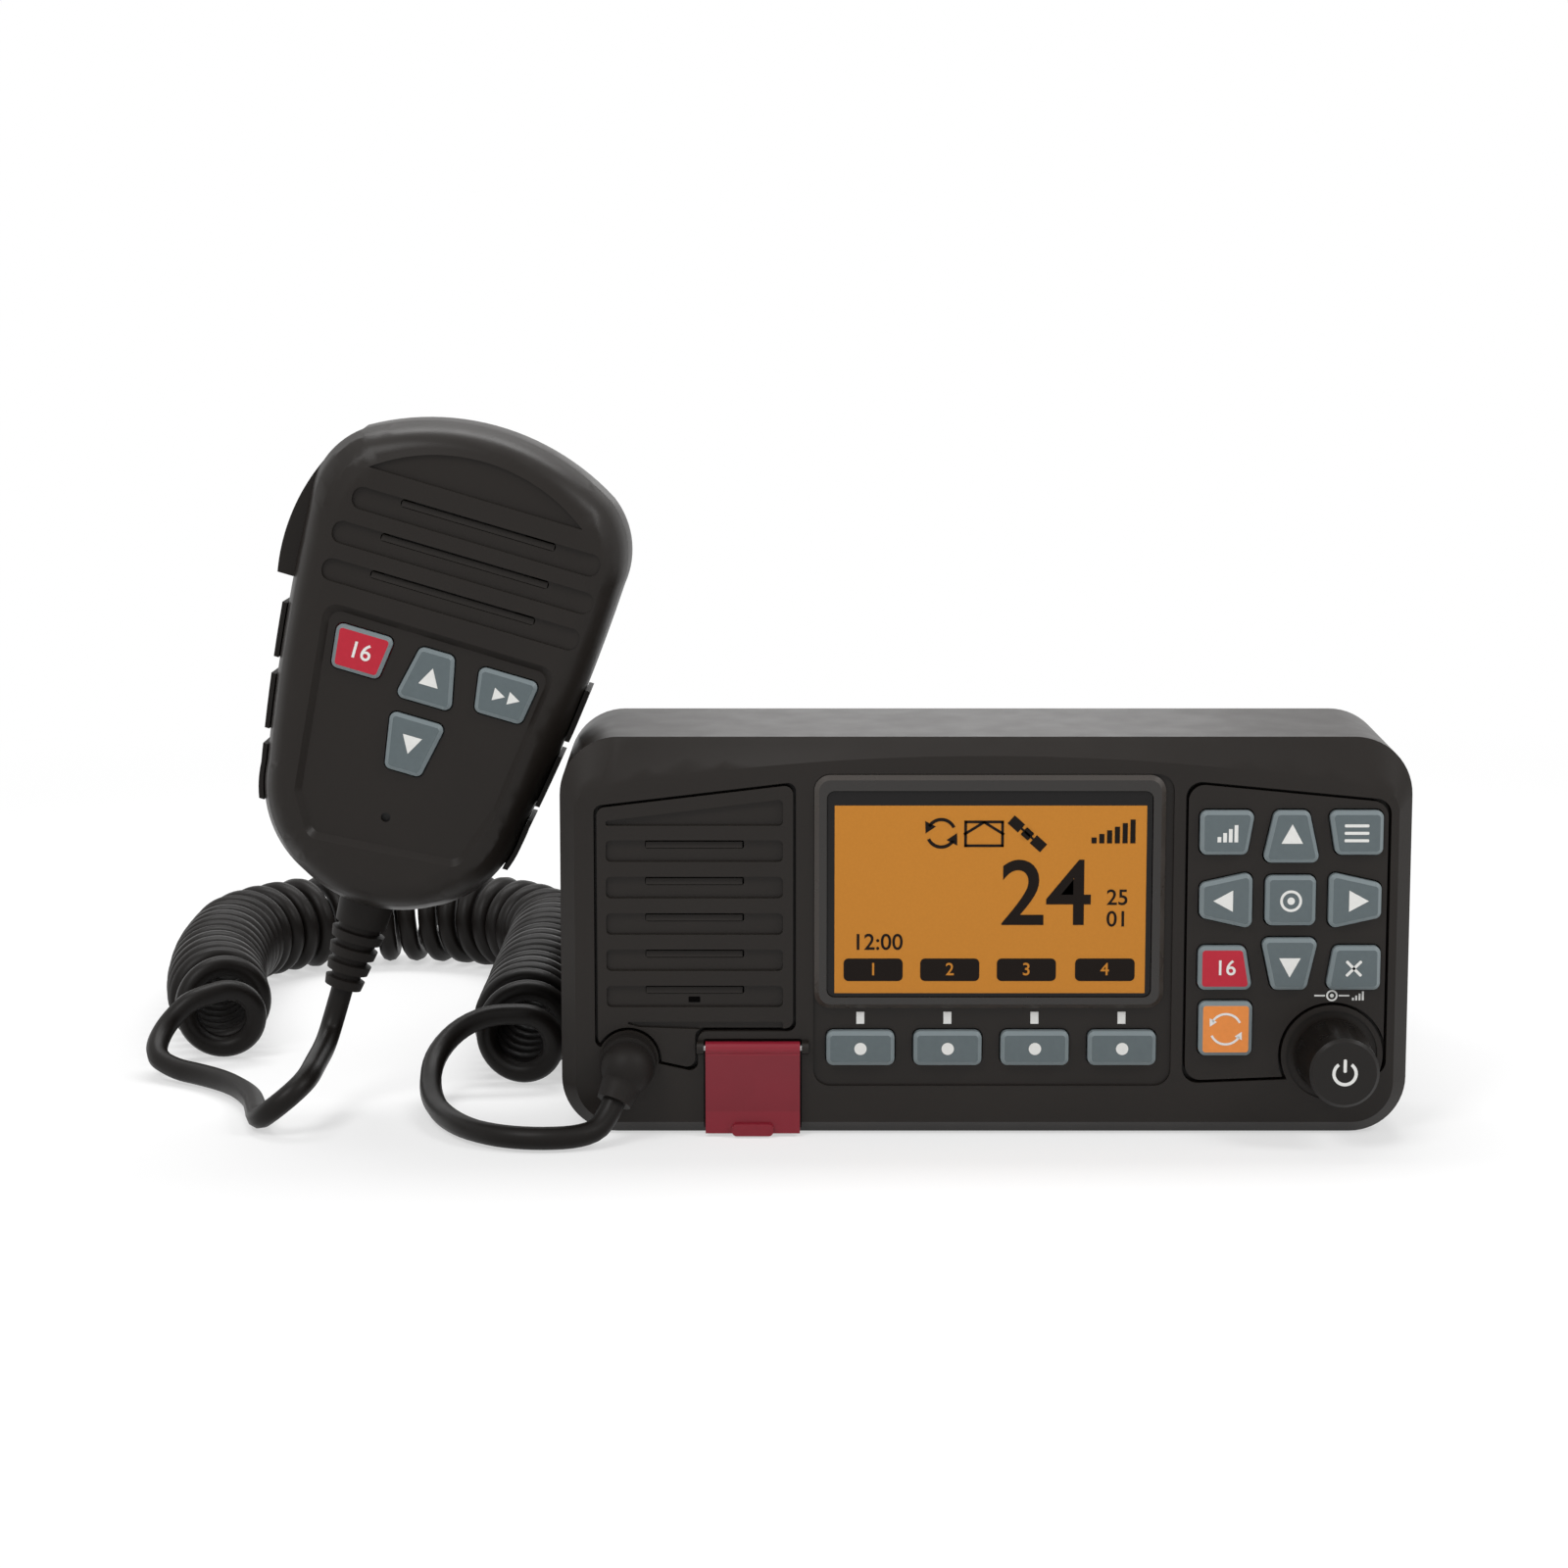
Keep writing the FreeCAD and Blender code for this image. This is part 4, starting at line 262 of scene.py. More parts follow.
def bezel_plastic(name, base):
    """Glossier plastic whose bevels are painted far paler, a painted highlight where they catch the light."""
    finish = Finish(name, Specular_IOR_Level=0.4, Coat_Weight=0.2, Coat_Roughness=0.1)
    front = finish.facing("Y").rise(0.8, 0.97)
    # Surfaces that do not face the front are painted paler: a painted highlight on the frame's bevels.
    finish.put("Base Color", finish.mix(shade(base, 3.2), finish.mix(shade(base, 0.9), shade(base, 1.1),
                                                                     finish.noise(60, 4)), front))
    finish.put("Roughness", finish.noise(160, 2) * 0.08 + 0.24)
    return finish.bump(finish.noise(2600, 2), 0.006 * MM, 0.4)


def soft_rubber(name, base, roughness=0.55):
    finish = Finish(name, Specular_IOR_Level=0.16)
    finish.put("Base Color", finish.mix(shade(base, 0.8), shade(base, 1.25), finish.noise(220, 4)))
    finish.put("Roughness", finish.noise(90, 2) * 0.14 + (roughness - 0.07))
    return finish.bump(finish.noise(2600, 3), 0.015 * MM, 0.6)


def coated_metal(name, base):
    """Powder coat over a casting."""
    finish = Finish(name, Metallic=0.0)
    finish.put("Base Color", finish.mix(shade(base, 0.8), shade(base, 1.2), finish.noise(70, 4)))
    finish.put("Roughness", finish.noise(250, 2) * 0.15 + 0.42)
    return finish.bump(finish.noise(1500, 3), 0.03 * MM, 0.7)


def bare_metal(name, base, roughness=0.28, along=(1, 40, 1)):
    finish = Finish(name, Metallic=1.0)
    lines = finish.noise(260, 3, finish.stretched(along))
    finish.put("Base Color", finish.mix(shade(base, 0.85), shade(base, 1.1), lines))
    finish.put("Roughness", lines * 0.16 + (roughness - 0.08))
    return finish.bump(lines, 0.004 * MM, 0.5)


def display_window(name, c):
    """The window: lit screen with a dark printed border, under a glossy front."""
    finish = Finish(name, Specular_IOR_Level=0.2, Coat_Roughness=0.04)
    x, z = finish.axis("X"), finish.axis("Z")
    left, right, foot, top = SCREEN
    inside = (x.rise(left - SCREEN_EDGE, left) * (1.0 - x.rise(right, right + SCREEN_EDGE))
              * z.rise(foot - SCREEN_EDGE, foot) * (1.0 - z.rise(top, top + SCREEN_EDGE)))
    cells = finish.noise(2200, 2)
    glow = finish.mix(shade(c.amber, 0.95), shade(c.amber, 1.05), cells)
    finish.put("Base Color", finish.mix(tone(20, 18, 18), glow, inside))
    finish.put("Roughness", 0.16 + inside * 0.3)
    return finish


def cover_plastic(name, base):
    """Red cover: darker in its middle, with paler bands painted at the hinge and along the foot as a painted
    highlight.
    """
    finish = Finish(name, Coat_Weight=0.2, Coat_Roughness=0.12, Specular_IOR_Level=0.25)
    z = finish.axis("Z")
    # Painted highlight: the cover is painted paler at the hinge and along its foot.
    hinge_and_foot_highlight = z.rise(*COVER_HINGE_HIGHLIGHT_BAND) + (1.0 - z.rise(*COVER_FOOT_HIGHLIGHT_BAND)) * 0.6
    finish.put("Base Color", finish.mix(finish.mix(shade(base, 0.9), shade(base, 1.08), finish.noise(120, 3)),
                                        shade(base, 1.5), hinge_and_foot_highlight * 0.55))
    finish.put("Roughness", finish.noise(200, 2) * 0.08 + 0.26)
    return finish.bump(finish.noise(900, 2), 0.006 * MM, 0.4)


def circuit_board(name):
    finish = Finish(name)
    tracks = finish.noise(500, 1, finish.stretched((1, 1, 0.2))).rise(0.5, 0.54)
    finish.put("Base Color", finish.mix(tone(16, 70, 40), tone(24, 98, 56), tracks))
    finish.put("Roughness", 0.3 + tracks * 0.15)
    return finish.bump(tracks, 0.02 * MM)


def printed_ink(name, base, gloss=0.2):
    finish = Finish(name, Specular_IOR_Level=gloss)
    finish.put("Base Color", finish.mix(shade(base, 0.93), shade(base, 1.03), finish.noise(1200, 3)))
    finish.put("Roughness", finish.noise(700, 2) * 0.15 + 0.42)
    return finish.bump(finish.noise(3200, 2), 0.004 * MM, 0.4)


FINISHES = {}
NODE_FINISH = {
    "housing": ("front_housing", "speaker_grille", "keypad_panel"),
    "bezel": ("lcd_frame",),
    "microphone": ("mic_front_shell", "mic_rear_shell", "hang_up_stud"),
    "lever": ("ptt_lever",),
    "key": ("key_power_level", "key_up", "key_menu", "key_left", "key_enter", "key_right", "key_down",
            "key_clear", "softkey_1", "softkey_2", "softkey_3", "softkey_4", "mic_key_up", "mic_key_down",
            "mic_key_scan"),
    "call_key": ("key_channel_16", "mic_key_16"),
    "swap_key": ("key_swap",),
    "cover": ("distress_cover",),
    "distress_button": ("distress_button",),
    "knob": ("volume_knob",),
    "print": ("index_marks",),
    "window": ("lcd_lens",),
    "backlight": ("lcd_module",),
    "rubber": ("radio_cord_boot", "mic_cord_boot", "mic_side_grips", "chassis_gasket", "power_lead_gland",
               "data_lead_gland"),
    "cord": ("cord_coil", "cord_tail_handset", "cord_tail_radio"),
    "mat": ("keypad_mat", "mic_key_mat"),
    "board": ("front_board", "main_board", "mic_board"),
    "chassis": ("rear_chassis",),
    "plated": ("aerial_connector",),
    "steel": ("chassis_screws", "mic_screws", "distress_cover_pin", "ptt_pin", "knob_shaft"),
    "switch": ("encoder_bush",),
    "speaker": ("speaker_driver", "mic_speaker", "mic_element"),
}


def make_finishes():
    c = colours()
    FINISHES.update({
        "housing": moulded("Moulded housing", c.housing, 0.4, coat=0.08),
        "microphone": moulded("Moulded microphone", c.microphone, 0.42, coat=0.06),
        "bezel": bezel_plastic("Display frame", shade(c.housing, 0.9)),
        "lever": moulded("Talk lever", shade(c.microphone, 0.8), 0.5, 1800, 0.03 * MM),
        "key": silicone_key("Grey key", c.key_face, c.key_edge_highlight),
        "call_key": silicone_key("Red key", c.call, c.key_edge_highlight),
        "swap_key": silicone_key("Orange key", c.swap, c.key_edge_highlight),
        "cover": cover_plastic("Distress cover", c.distress),
        "distress_button": soft_rubber("Distress button", tone(170, 30, 40), 0.45),
        "knob": moulded("Knob", shade(c.housing, 0.6), 0.3, 2600, 0.012 * MM, 0.1),
        "print": printed_ink("Light print", c.printed),
        "ink": printed_ink("Screen ink", c.ink, 0.12),
        "amber": printed_ink("Screen amber", c.amber),
        # Near-black finish for painted shade inside an opening.
        "dark": printed_ink("Opening shade", tone(5, 4, 4), 0.02),
        "window": display_window("Display window", c),
        "backlight": printed_ink("Backlight", c.amber),
        "rubber": soft_rubber("Boot rubber", c.rubber),
        "cord": soft_rubber("Cord jacket", c.cord, 0.42),
        "mat": soft_rubber("Key mat", tone(86, 88, 88)),
        "board": circuit_board("Circuit board"),
        "chassis": coated_metal("Cast chassis", c.alloy),
        "plated": bare_metal("Nickel plate", tone(206, 203, 196), 0.24, (1, 1, 1)),
        "steel": bare_metal("Steel", tone(180, 180, 180), 0.34, (8, 1, 8)),
        "switch": bare_metal("Switch can", tone(176, 176, 172), 0.4),
        "speaker": coated_metal("Speaker basket", tone(18, 17, 17)),
    })


def dress(obj, finish):
    obj.data.materials.clear()
    obj.data.materials.append(FINISHES[finish].material)


def deselect():
    if bpy.context.object and bpy.context.object.mode != "OBJECT":
        bpy.ops.object.mode_set(mode="OBJECT")
    bpy.ops.object.select_all(action="DESELECT")


def pick(obj):
    deselect()
    obj.select_set(True)
    bpy.context.view_layer.objects.active = obj


def settle(obj):
    """Put an object's place and turn into its mesh."""
    pick(obj)
    bpy.ops.object.transform_apply(location=True, rotation=True, scale=True)
    return obj


def outward(obj):
    pick(obj)
    bpy.ops.object.mode_set(mode="EDIT")
    bpy.ops.mesh.select_all(action="SELECT")
    bpy.ops.mesh.normals_make_consistent(inside=False)
    bpy.ops.object.mode_set(mode="OBJECT")
    return obj


def gather(parts, name, body, finish, place=None):
    """Join parts into one piece, set it in place and let it ride on a body."""
    deselect()
    for part in parts:
        part.select_set(True)
    bpy.context.view_layer.objects.active = parts[0]
    if len(parts) > 1:
        bpy.ops.object.join()
    piece = bpy.context.view_layer.objects.active
    piece.name = name
    piece.data.name = name
    settle(piece)
    if place is not None:
        piece.matrix_world = place
        settle(piece)
    dress(piece, finish)
    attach(piece, body)
    return piece


def thick():
    return sizes().print_thickness


def block(x0, x1, z0, z1, y, corner=0.0):
    """A flat bar on a surface that faces -Y, in millimetres, with rounded corners."""
    deselect()
    bpy.ops.mesh.primitive_cube_add(size=1, location=((x0 + x1) / 2 * MM, y - thick() / 2, (z0 + z1) / 2 * MM))
    bar = bpy.context.object
    bar.scale = ((x1 - x0) * MM, thick(), (z1 - z0) * MM)
    settle(bar)
    if corner:
        bpy.ops.object.mode_set(mode="EDIT")
        bpy.ops.mesh.select_all(action="DESELECT")
        bpy.ops.object.mode_set(mode="OBJECT")
        for edge in bar.data.edges:
            a, b = (bar.data.vertices[i].co for i in edge.vertices)
            edge.select = abs(a.x - b.x) < 1e-7 and abs(a.z - b.z) < 1e-7
        bpy.ops.object.mode_set(mode="EDIT")
        bpy.ops.mesh.select_mode(type="EDGE")
        bpy.ops.mesh.bevel(offset=corner * MM, segments=4)
        bpy.ops.object.mode_set(mode="OBJECT")
    return bar


def disc(x, z, radius, y, sides=32, turn=0.0, squeeze=1.0):
    """A flat disc, or with few sides a triangle, on a surface that faces -Y."""
    deselect()
    bpy.ops.mesh.primitive_cylinder_add(vertices=sides, radius=radius * MM, depth=thick(),
                                        location=(x * MM, y - thick() / 2, z * MM))
    made = bpy.context.object
    made.rotation_euler = (math.pi / 2, 0, 0)
    settle(made)
    made.matrix_world = (Matrix.Translation((x * MM, y, z * MM)) @ Matrix.Rotation(turn, 4, "Y")
                         @ Matrix.Diagonal((squeeze, 1, 1, 1)) @ Matrix.Translation((-x * MM, -y, -z * MM)))
    return settle(made)


def arc(x, z, inner, outer, start, sweep, y, steps=28):
    """Part of a flat ring, spun from one edge; angles run anticlockwise from +X as seen from the front."""
    deselect()
    bpy.ops.mesh.primitive_plane_add(size=1, location=(0, 0, 0))
    made = bpy.context.object
    bpy.ops.object.mode_set(mode="EDIT")
    bpy.ops.mesh.select_all(action="DESELECT")
    bpy.ops.object.mode_set(mode="OBJECT")
    for vertex in made.data.vertices:
        vertex.select = vertex.co.y > 0
    bpy.ops.object.mode_set(mode="EDIT")
    bpy.ops.mesh.delete(type="VERT")
    bpy.ops.object.mode_set(mode="OBJECT")
    for vertex in made.data.vertices:
        reach = (inner if vertex.co.x < 0 else outer) * MM
        vertex.co = ((x * MM) + reach * math.cos(start), y, (z * MM) + reach * math.sin(start))
    bpy.ops.object.mode_set(mode="EDIT")
    bpy.ops.mesh.select_all(action="SELECT")
    bpy.ops.mesh.spin(steps=steps, angle=sweep, center=(x * MM, y, z * MM), axis=(0, 1, 0))
    bpy.ops.mesh.select_all(action="SELECT")
    bpy.ops.mesh.remove_doubles(threshold=1e-7)
    bpy.ops.mesh.extrude_region_move(TRANSFORM_OT_translate={"value": (0, -thick(), 0)})
    bpy.ops.object.mode_set(mode="OBJECT")
    return outward(made)


def words(text, x, z, height, y):
    """Plain numbers, centred."""
    deselect()
    bpy.ops.object.text_add(location=(x * MM, y - thick() / 2, z * MM), rotation=(math.pi / 2, 0, 0))
    made = bpy.context.object
    made.data.body = text
    made.data.align_x = "CENTER"
    made.data.align_y = "CENTER"
    made.data.size = height * MM / 0.72
    made.data.extrude = thick() / 2
    made.data.resolution_u = 6
    made.data.offset = height * MM * 0.012
    pick(made)
    bpy.ops.object.convert(target="MESH")
    made = bpy.context.object
    bpy.ops.object.mode_set(mode="EDIT")
    bpy.ops.mesh.select_all(action="SELECT")
    bpy.ops.mesh.remove_doubles(threshold=1e-7)
    bpy.ops.object.mode_set(mode="OBJECT")
    return settle(made)


def triangle(x, z, size, y, turn):
    """An arrowhead; turn 0 points up and a quarter turn points right."""
    return disc(x, z, size, y, 3, turn, 0.95)


def swap_arrows(x, z, radius, y, width=0.45):
    """Two arrows that chase each other round a circle."""
    parts = []
    for half in (0, 1):
        start = math.radians(25) + half * math.pi
        sweep = math.radians(125)
        parts.append(arc(x, z, radius - width / 2, radius + width / 2, start, sweep, y, 16))
        tip = start + sweep + 0.05
        parts.append(triangle(x + radius * math.cos(tip), z + radius * math.sin(tip), width * 2.2, y, -tip))
    return parts


def front_of(node):
    low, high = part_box(node)
    return (low.x + high.x) / 2 / MM, (low.z + high.z) / 2 / MM, low.y


def key_symbol(node, build):
    """Print a symbol on a key; build gets the key's middle and the level of its front."""
    x, z, y = front_of(node)
    gather(build(x, z, y), node + "_print", node, "print")


def rising_bars(left, foot, y, count=4, width=0.7, step=1.05, low=1.0, rise=0.75):
    """Bars that grow to the right, as on a level meter."""
    return [block(left + n * step, left + n * step + width, foot, foot + low + n * rise, y)
            for n in range(count)]


def turned(part, x, z, angle, shift=(0, 0)):
    """Turn a flat part about a point of the front, and then shift it, in millimetres."""
    centre = Matrix.Translation((x * MM, 0, z * MM))
    move = Matrix.Translation((shift[0] * MM, 0, shift[1] * MM))
    part.matrix_world = move @ centre @ Matrix.Rotation(angle, 4, "Y") @ centre.inverted()
    return settle(part)


class MARINE_RADIO_OT_finishes(bpy.types.Operator):
    """Make the finishes and put them on the solids"""
    bl_idname = "marine_radio.finishes"
    bl_label = "Finishes"

    def execute(self, context):
        make_finishes()
        for finish, nodes in NODE_FINISH.items():
            for node in nodes:
                dress(frame["nodes"][node], finish)
        return {"FINISHED"}


# node, body, slot and the angle in degrees above which an edge stays sharp
SMOOTHED = (
    ("front_housing", "radio", "housing_plastic", 24),
    ("mic_front_shell", "handset", "mic_plastic", 32),
    ("mic_rear_shell", "handset", "mic_plastic", 32),
    ("volume_knob", "volume_knob", "knob_plastic", 30),
    ("radio_cord_boot", "radio", "black_rubber", 40),
    ("mic_cord_boot", "handset", "black_rubber", 30),
)


class MARINE_RADIO_OT_shells(bpy.types.Operator):
    """Smooth copies of the moulded shells, whose bands then shade as one surface"""
    bl_idname = "marine_radio.shells"
    bl_label = "Smooth shells"

    def execute(self, context):
        for node, body, slot, angle in SMOOTHED:
            source = frame["nodes"][node]
            piece = source.copy()
            piece.data = source.data.copy()
            piece.parent = None
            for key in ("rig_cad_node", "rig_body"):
                del piece[key]
            bpy.context.scene.collection.objects.link(piece)
            piece.name = node + "_skin"
            pick(piece)
            bpy.ops.mesh.customdata_custom_splitnormals_clear()
            bpy.ops.object.mode_set(mode="EDIT")
            bpy.ops.mesh.select_all(action="SELECT")
            bpy.ops.mesh.remove_doubles(threshold=2e-6)
            bpy.ops.object.mode_set(mode="OBJECT")
            bpy.ops.object.shade_smooth_by_angle(angle=math.radians(angle))
            even = piece.modifiers.new("Even shading", "WEIGHTED_NORMAL")
            even.keep_sharp = True
            even.weight = 60
            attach(piece, body)
            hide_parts(node)
        return {"FINISHED"}


SCREEN_NUMBERS = (("24", 11.2, 45.7, 12.6), ("25", 24.6, 45.4, 3.0), ("01", 24.6, 41.3, 3.0),
                  ("12:00", -20.3, 36.9, 3.1))
SWAP_SIGN_PLACE = (-8.5, 57.7)
LETTER_PLACE = (-0.5, 57.6)
SATELLITE_PLACE = (7.6, 57.6)
LEVEL_PLACE = (19.6, 55.8)
SCREEN_BARS = ((-26.7, -15.6), (-12.3, -1.2), (2.1, 13.2), (16.8, 28.0))
SCREEN_BAR_FOOT, SCREEN_BAR_TOP = 29.6, 33.9


class MARINE_RADIO_OT_display(bpy.types.Operator):
    """What the lit screen shows: a channel number, small numbers, bars and plain signs"""
    bl_idname = "marine_radio.display"
    bl_label = "Display"

    def execute(self, context):
        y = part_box("lcd_lens")[0].y
        parts = [words(*number, y) for number in SCREEN_NUMBERS]
        parts += swap_arrows(*SWAP_SIGN_PLACE, 2.6, y, 0.62)
        parts += self.letter(*LETTER_PLACE, y)
        parts += self.satellite(*SATELLITE_PLACE, y)
        parts += rising_bars(*LEVEL_PLACE, y, count=6, width=0.95, step=1.45, low=1.1, rise=0.68)
        gather(parts, "screen_signs", "radio", "ink")
        bars = [block(left, right, SCREEN_BAR_FOOT, SCREEN_BAR_TOP, y, 0.9) for left, right in SCREEN_BARS]
        gather(bars, "screen_bars", "radio", "ink")
        middle = (SCREEN_BAR_FOOT + SCREEN_BAR_TOP) / 2
        numbers = [words(str(n + 1), (left + right) / 2, middle, 2.4, y - thick())
                   for n, (left, right) in enumerate(SCREEN_BARS)]
        gather(numbers, "screen_bar_numbers", "radio", "amber")
        return {"FINISHED"}

    def letter(self, x, z, y):
        """An envelope, drawn as an outline with its flap."""
        w, h, t = 3.7, 2.5, 0.5
        parts = [block(x - w, x + w, z + h - t, z + h, y), block(x - w, x + w, z - h, z - h + t, y),
                 block(x - w, x - w + t, z - h, z + h, y), block(x + w - t, x + w, z - h, z + h, y)]
        for side in (-1, 1):
            bar = block(x - 2.25, x + 2.25, z - t / 2, z + t / 2, y)
            parts.append(turned(bar, x, z, side * math.radians(32), (side * 1.85, 1.05)))
        return parts

    def satellite(self, x, z, y):
        """A body between two panels, on a slant."""
        parts = [block(x - 0.9, x + 0.9, z - 0.9, z + 0.9, y, 0.2),
                 block(x - 4.1, x - 1.5, z - 1.0, z + 1.0, y),
                 block(x + 1.5, x + 4.1, z - 1.0, z + 1.0, y),
                 block(x - 1.5, x + 1.5, z - 0.2, z + 0.2, y)]
        return [turned(part, x, z, math.radians(42)) for part in parts]


class MARINE_RADIO_OT_key_symbols(bpy.types.Operator):
    """Arrows and plain signs on the radio's keys"""
    bl_idname = "marine_radio.key_symbols"
    bl_label = "Key symbols"

    def execute(self, context):
        quarter = math.pi / 2
        for node, turn in (("key_up", 0), ("key_right", quarter), ("key_down", 2 * quarter),
                           ("key_left", -quarter)):
            key_symbol(node, lambda x, z, y, turn=turn: [triangle(x, z, 2.45, y, turn)])
        key_symbol("key_menu", lambda x, z, y: [block(x - 2.3, x + 2.3, z + d - 0.28, z + d + 0.28, y, 0.2)
                                               for d in (-1.4, 0, 1.4)])
        key_symbol("key_power_level", lambda x, z, y: rising_bars(x - 1.925, z - 1.7, y))
        key_symbol("key_enter", lambda x, z, y: [arc(x, z, 1.55, 2.05, 0, 2 * math.pi, y, 40),
                                                disc(x, z, 0.7, y)])
        key_symbol("key_channel_16", lambda x, z, y: [words("16", x, z, 2.9, y)])
        key_symbol("key_clear", self.cross)
        key_symbol("key_swap", lambda x, z, y: swap_arrows(x, z, 2.9, y, 0.42))
        for number in range(4):
            key_symbol("softkey_%d" % (number + 1), lambda x, z, y: [disc(x, z, 1.16, y)])
        return {"FINISHED"}

    def cross(self, x, z, y):
        return [turned(block(x - 2.0, x + 2.0, z - 0.27, z + 0.27, y, 0.2), x, z, side * math.pi / 4)
                for side in (-1, 1)]


PANEL_SIGN_SHIFT = -0.2
PANEL_SIGN_LEVEL = 26.65


class MARINE_RADIO_OT_knob_symbols(bpy.types.Operator):
    """The standby sign on the knob, and the sign printed above it"""
    bl_idname = "marine_radio.knob_symbols"
    bl_label = "Knob symbols"

    def execute(self, context):
        x, z, y = front_of("volume_knob")
        sign = [arc(x, z, 1.75, 2.35, math.radians(125), math.radians(290), y, 40),
                block(x - 0.3, x + 0.3, z + 0.2, z + 2.7, y, 0.25)]
        gather(sign, "knob_print", "volume_knob", "print")
        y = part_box("keypad_panel")[0].y
        x, z = x + PANEL_SIGN_SHIFT, PANEL_SIGN_LEVEL
        sign = [arc(x, z, 0.75, 1.08, 0, 2 * math.pi, y, 36), disc(x, z, 0.36, y),
                block(x - 3.3, x - 1.3, z - 0.15, z + 0.15, y), block(x + 1.3, x + 3.3, z - 0.15, z + 0.15, y)]
        sign += rising_bars(x + 3.8, z - 0.9, y, width=0.36, step=0.62, low=0.5, rise=0.4)
        gather(sign, "panel_print", "radio", "print")
        return {"FINISHED"}


MICROPHONE = (-105.4 * MM, -50.0 * MM, 86.8 * MM)
SLOT_DEPTH = 0.9 * MM
GRILLE_SLIT = (-63.9, -45.7)
GRILLE_SLIT_TOPS = (56.25, 49.32, 42.39, 35.46, 28.53)
GRILLE_OPENING_SHADE = (-55.9, -53.7, 25.2, 26.3)
MICROPHONE_SLITS = ((-13.1, 16.7, 30.25), (-15.0, 17.4, 23.05), (-15.0, 16.8, 15.75))
GRILLE_BLADE_DROP, MICROPHONE_BLADE_DROP = 1.62, 1.52
BLADE_RUN, BLADE_CLIMB, BLADE_WALL = 0.3, 1.25, 0.3


def microphone_place():
    """From the upright microphone's own middle to where it leans."""
    return Matrix.Translation(MICROPHONE) @ Matrix.Rotation(sizes().microphone_tilt, 4, "Y")


def blade(left, right, foot, y):
    """A bar that slopes up and inwards behind a slit, in millimetres but for y, with rounded edges."""
    deselect()
    bpy.ops.mesh.primitive_cube_add(size=1, location=((left + right) / 2 * MM, y + BLADE_RUN / 2 * MM,
                                                      (foot + BLADE_CLIMB / 2) * MM))
    made = bpy.context.object
    made.scale = ((right - left) * MM, BLADE_WALL * MM, math.hypot(BLADE_RUN, BLADE_CLIMB) * MM)
    made.rotation_euler = (-math.atan2(BLADE_RUN, BLADE_CLIMB), 0, 0)
    settle(made)
    bpy.ops.object.mode_set(mode="EDIT")
    bpy.ops.mesh.select_all(action="SELECT")
    bpy.ops.mesh.bevel(offset=0.1 * MM, segments=2)
    bpy.ops.object.mode_set(mode="OBJECT")
    return made


class MARINE_RADIO_OT_blades(bpy.types.Operator):
    """The blades behind the slits of the grille and of the microphone, and a near-black block that paints the
    shade in one small opening of the grille
    """
    bl_idname = "marine_radio.blades"
    bl_label = "Blades behind the slits"

    def execute(self, context):
        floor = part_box("speaker_grille")[0].y + SLOT_DEPTH
        bars = [blade(*GRILLE_SLIT, top - GRILLE_BLADE_DROP, floor) for top in GRILLE_SLIT_TOPS]
        gather(bars, "grille_blades", "radio", "housing")
        # A near-black block on the floor of the grille: painted shade where a small opening lies in shadow.
        gather([block(*GRILLE_OPENING_SHADE, floor, 0.2)], "grille_opening_shade", "radio", "dark")
        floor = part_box("mic_front_shell")[0].y - MICROPHONE[1] + SLOT_DEPTH
        bars = [blade(left, right, top - MICROPHONE_BLADE_DROP, floor) for left, right, top in MICROPHONE_SLITS]
        gather(bars, "microphone_blades", "handset", "microphone", microphone_place())
        return {"FINISHED"}


class MARINE_RADIO_OT_mic_symbols(bpy.types.Operator):
    """Signs on the hand microphone's four keys, drawn upright and then tilted with it"""
    bl_idname = "marine_radio.mic_symbols"
    bl_label = "Microphone symbols"

    def execute(self, context):
        place = microphone_place()
        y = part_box("mic_key_up")[0].y - MICROPHONE[1]
        scan = [triangle(14.0, -0.3, 1.5, y, math.pi / 2), triangle(16.9, -0.3, 1.5, y, math.pi / 2)]
        for node, parts in (("mic_key_16", [words("16", -13.0, 0.2, 3.2, y)]),
                            ("mic_key_up", [triangle(1.0, -1.2, 2.3, y, 0)]),
                            ("mic_key_down", [triangle(0.8, -13.6, 2.3, y, math.pi)]),
                            ("mic_key_scan", scan)):
            gather(parts, node + "_print", node, "print", place)
        return {"FINISHED"}


THREAD_MIDDLE = (-52.0 * MM, 40.0 * MM)
THREAD_START = 63.2 * MM
THREAD_ROOT, THREAD_CREST, THREAD_SWELL = 7.55 * MM, 7.9 * MM, 1.012
THREAD_PITCH, THREAD_ROUNDS = 1.06 * MM, 10


class MARINE_RADIO_OT_aerial_thread(bpy.types.Operator):
    """The thread round the aerial socket's barrel"""
    bl_idname = "marine_radio.aerial_thread"
    bl_label = "Aerial thread"

    def execute(self, context):
        deselect()
        bpy.ops.mesh.primitive_circle_add(vertices=48, radius=THREAD_CREST, location=(0, 0, 0))
        ring = bpy.context.object
        bpy.ops.object.mode_set(mode="EDIT")
        bpy.ops.mesh.select_all(action="SELECT")
        for ratio in (THREAD_SWELL, 1 / THREAD_SWELL) * THREAD_ROUNDS:
            bpy.ops.mesh.extrude_region_move(TRANSFORM_OT_translate={"value": (0, 0, THREAD_PITCH / 2)})
            bpy.ops.transform.resize(value=(ratio, ratio, 1))
        bpy.ops.object.mode_set(mode="OBJECT")
        ring.rotation_euler = (-math.pi / 2, 0, 0)
        ring.location = (THREAD_MIDDLE[0], THREAD_START, THREAD_MIDDLE[1])
        settle(ring)
        wall = ring.modifiers.new("Wall", "SOLIDIFY")
        wall.thickness = THREAD_CREST - THREAD_ROOT
        wall.offset = -1
        pick(ring)
        bpy.ops.object.modifier_apply(modifier=wall.name)
        outward(ring)
        bpy.ops.object.shade_smooth_by_angle(angle=math.radians(50))
        gather([ring], "aerial_thread", "radio", "plated")
        return {"FINISHED"}


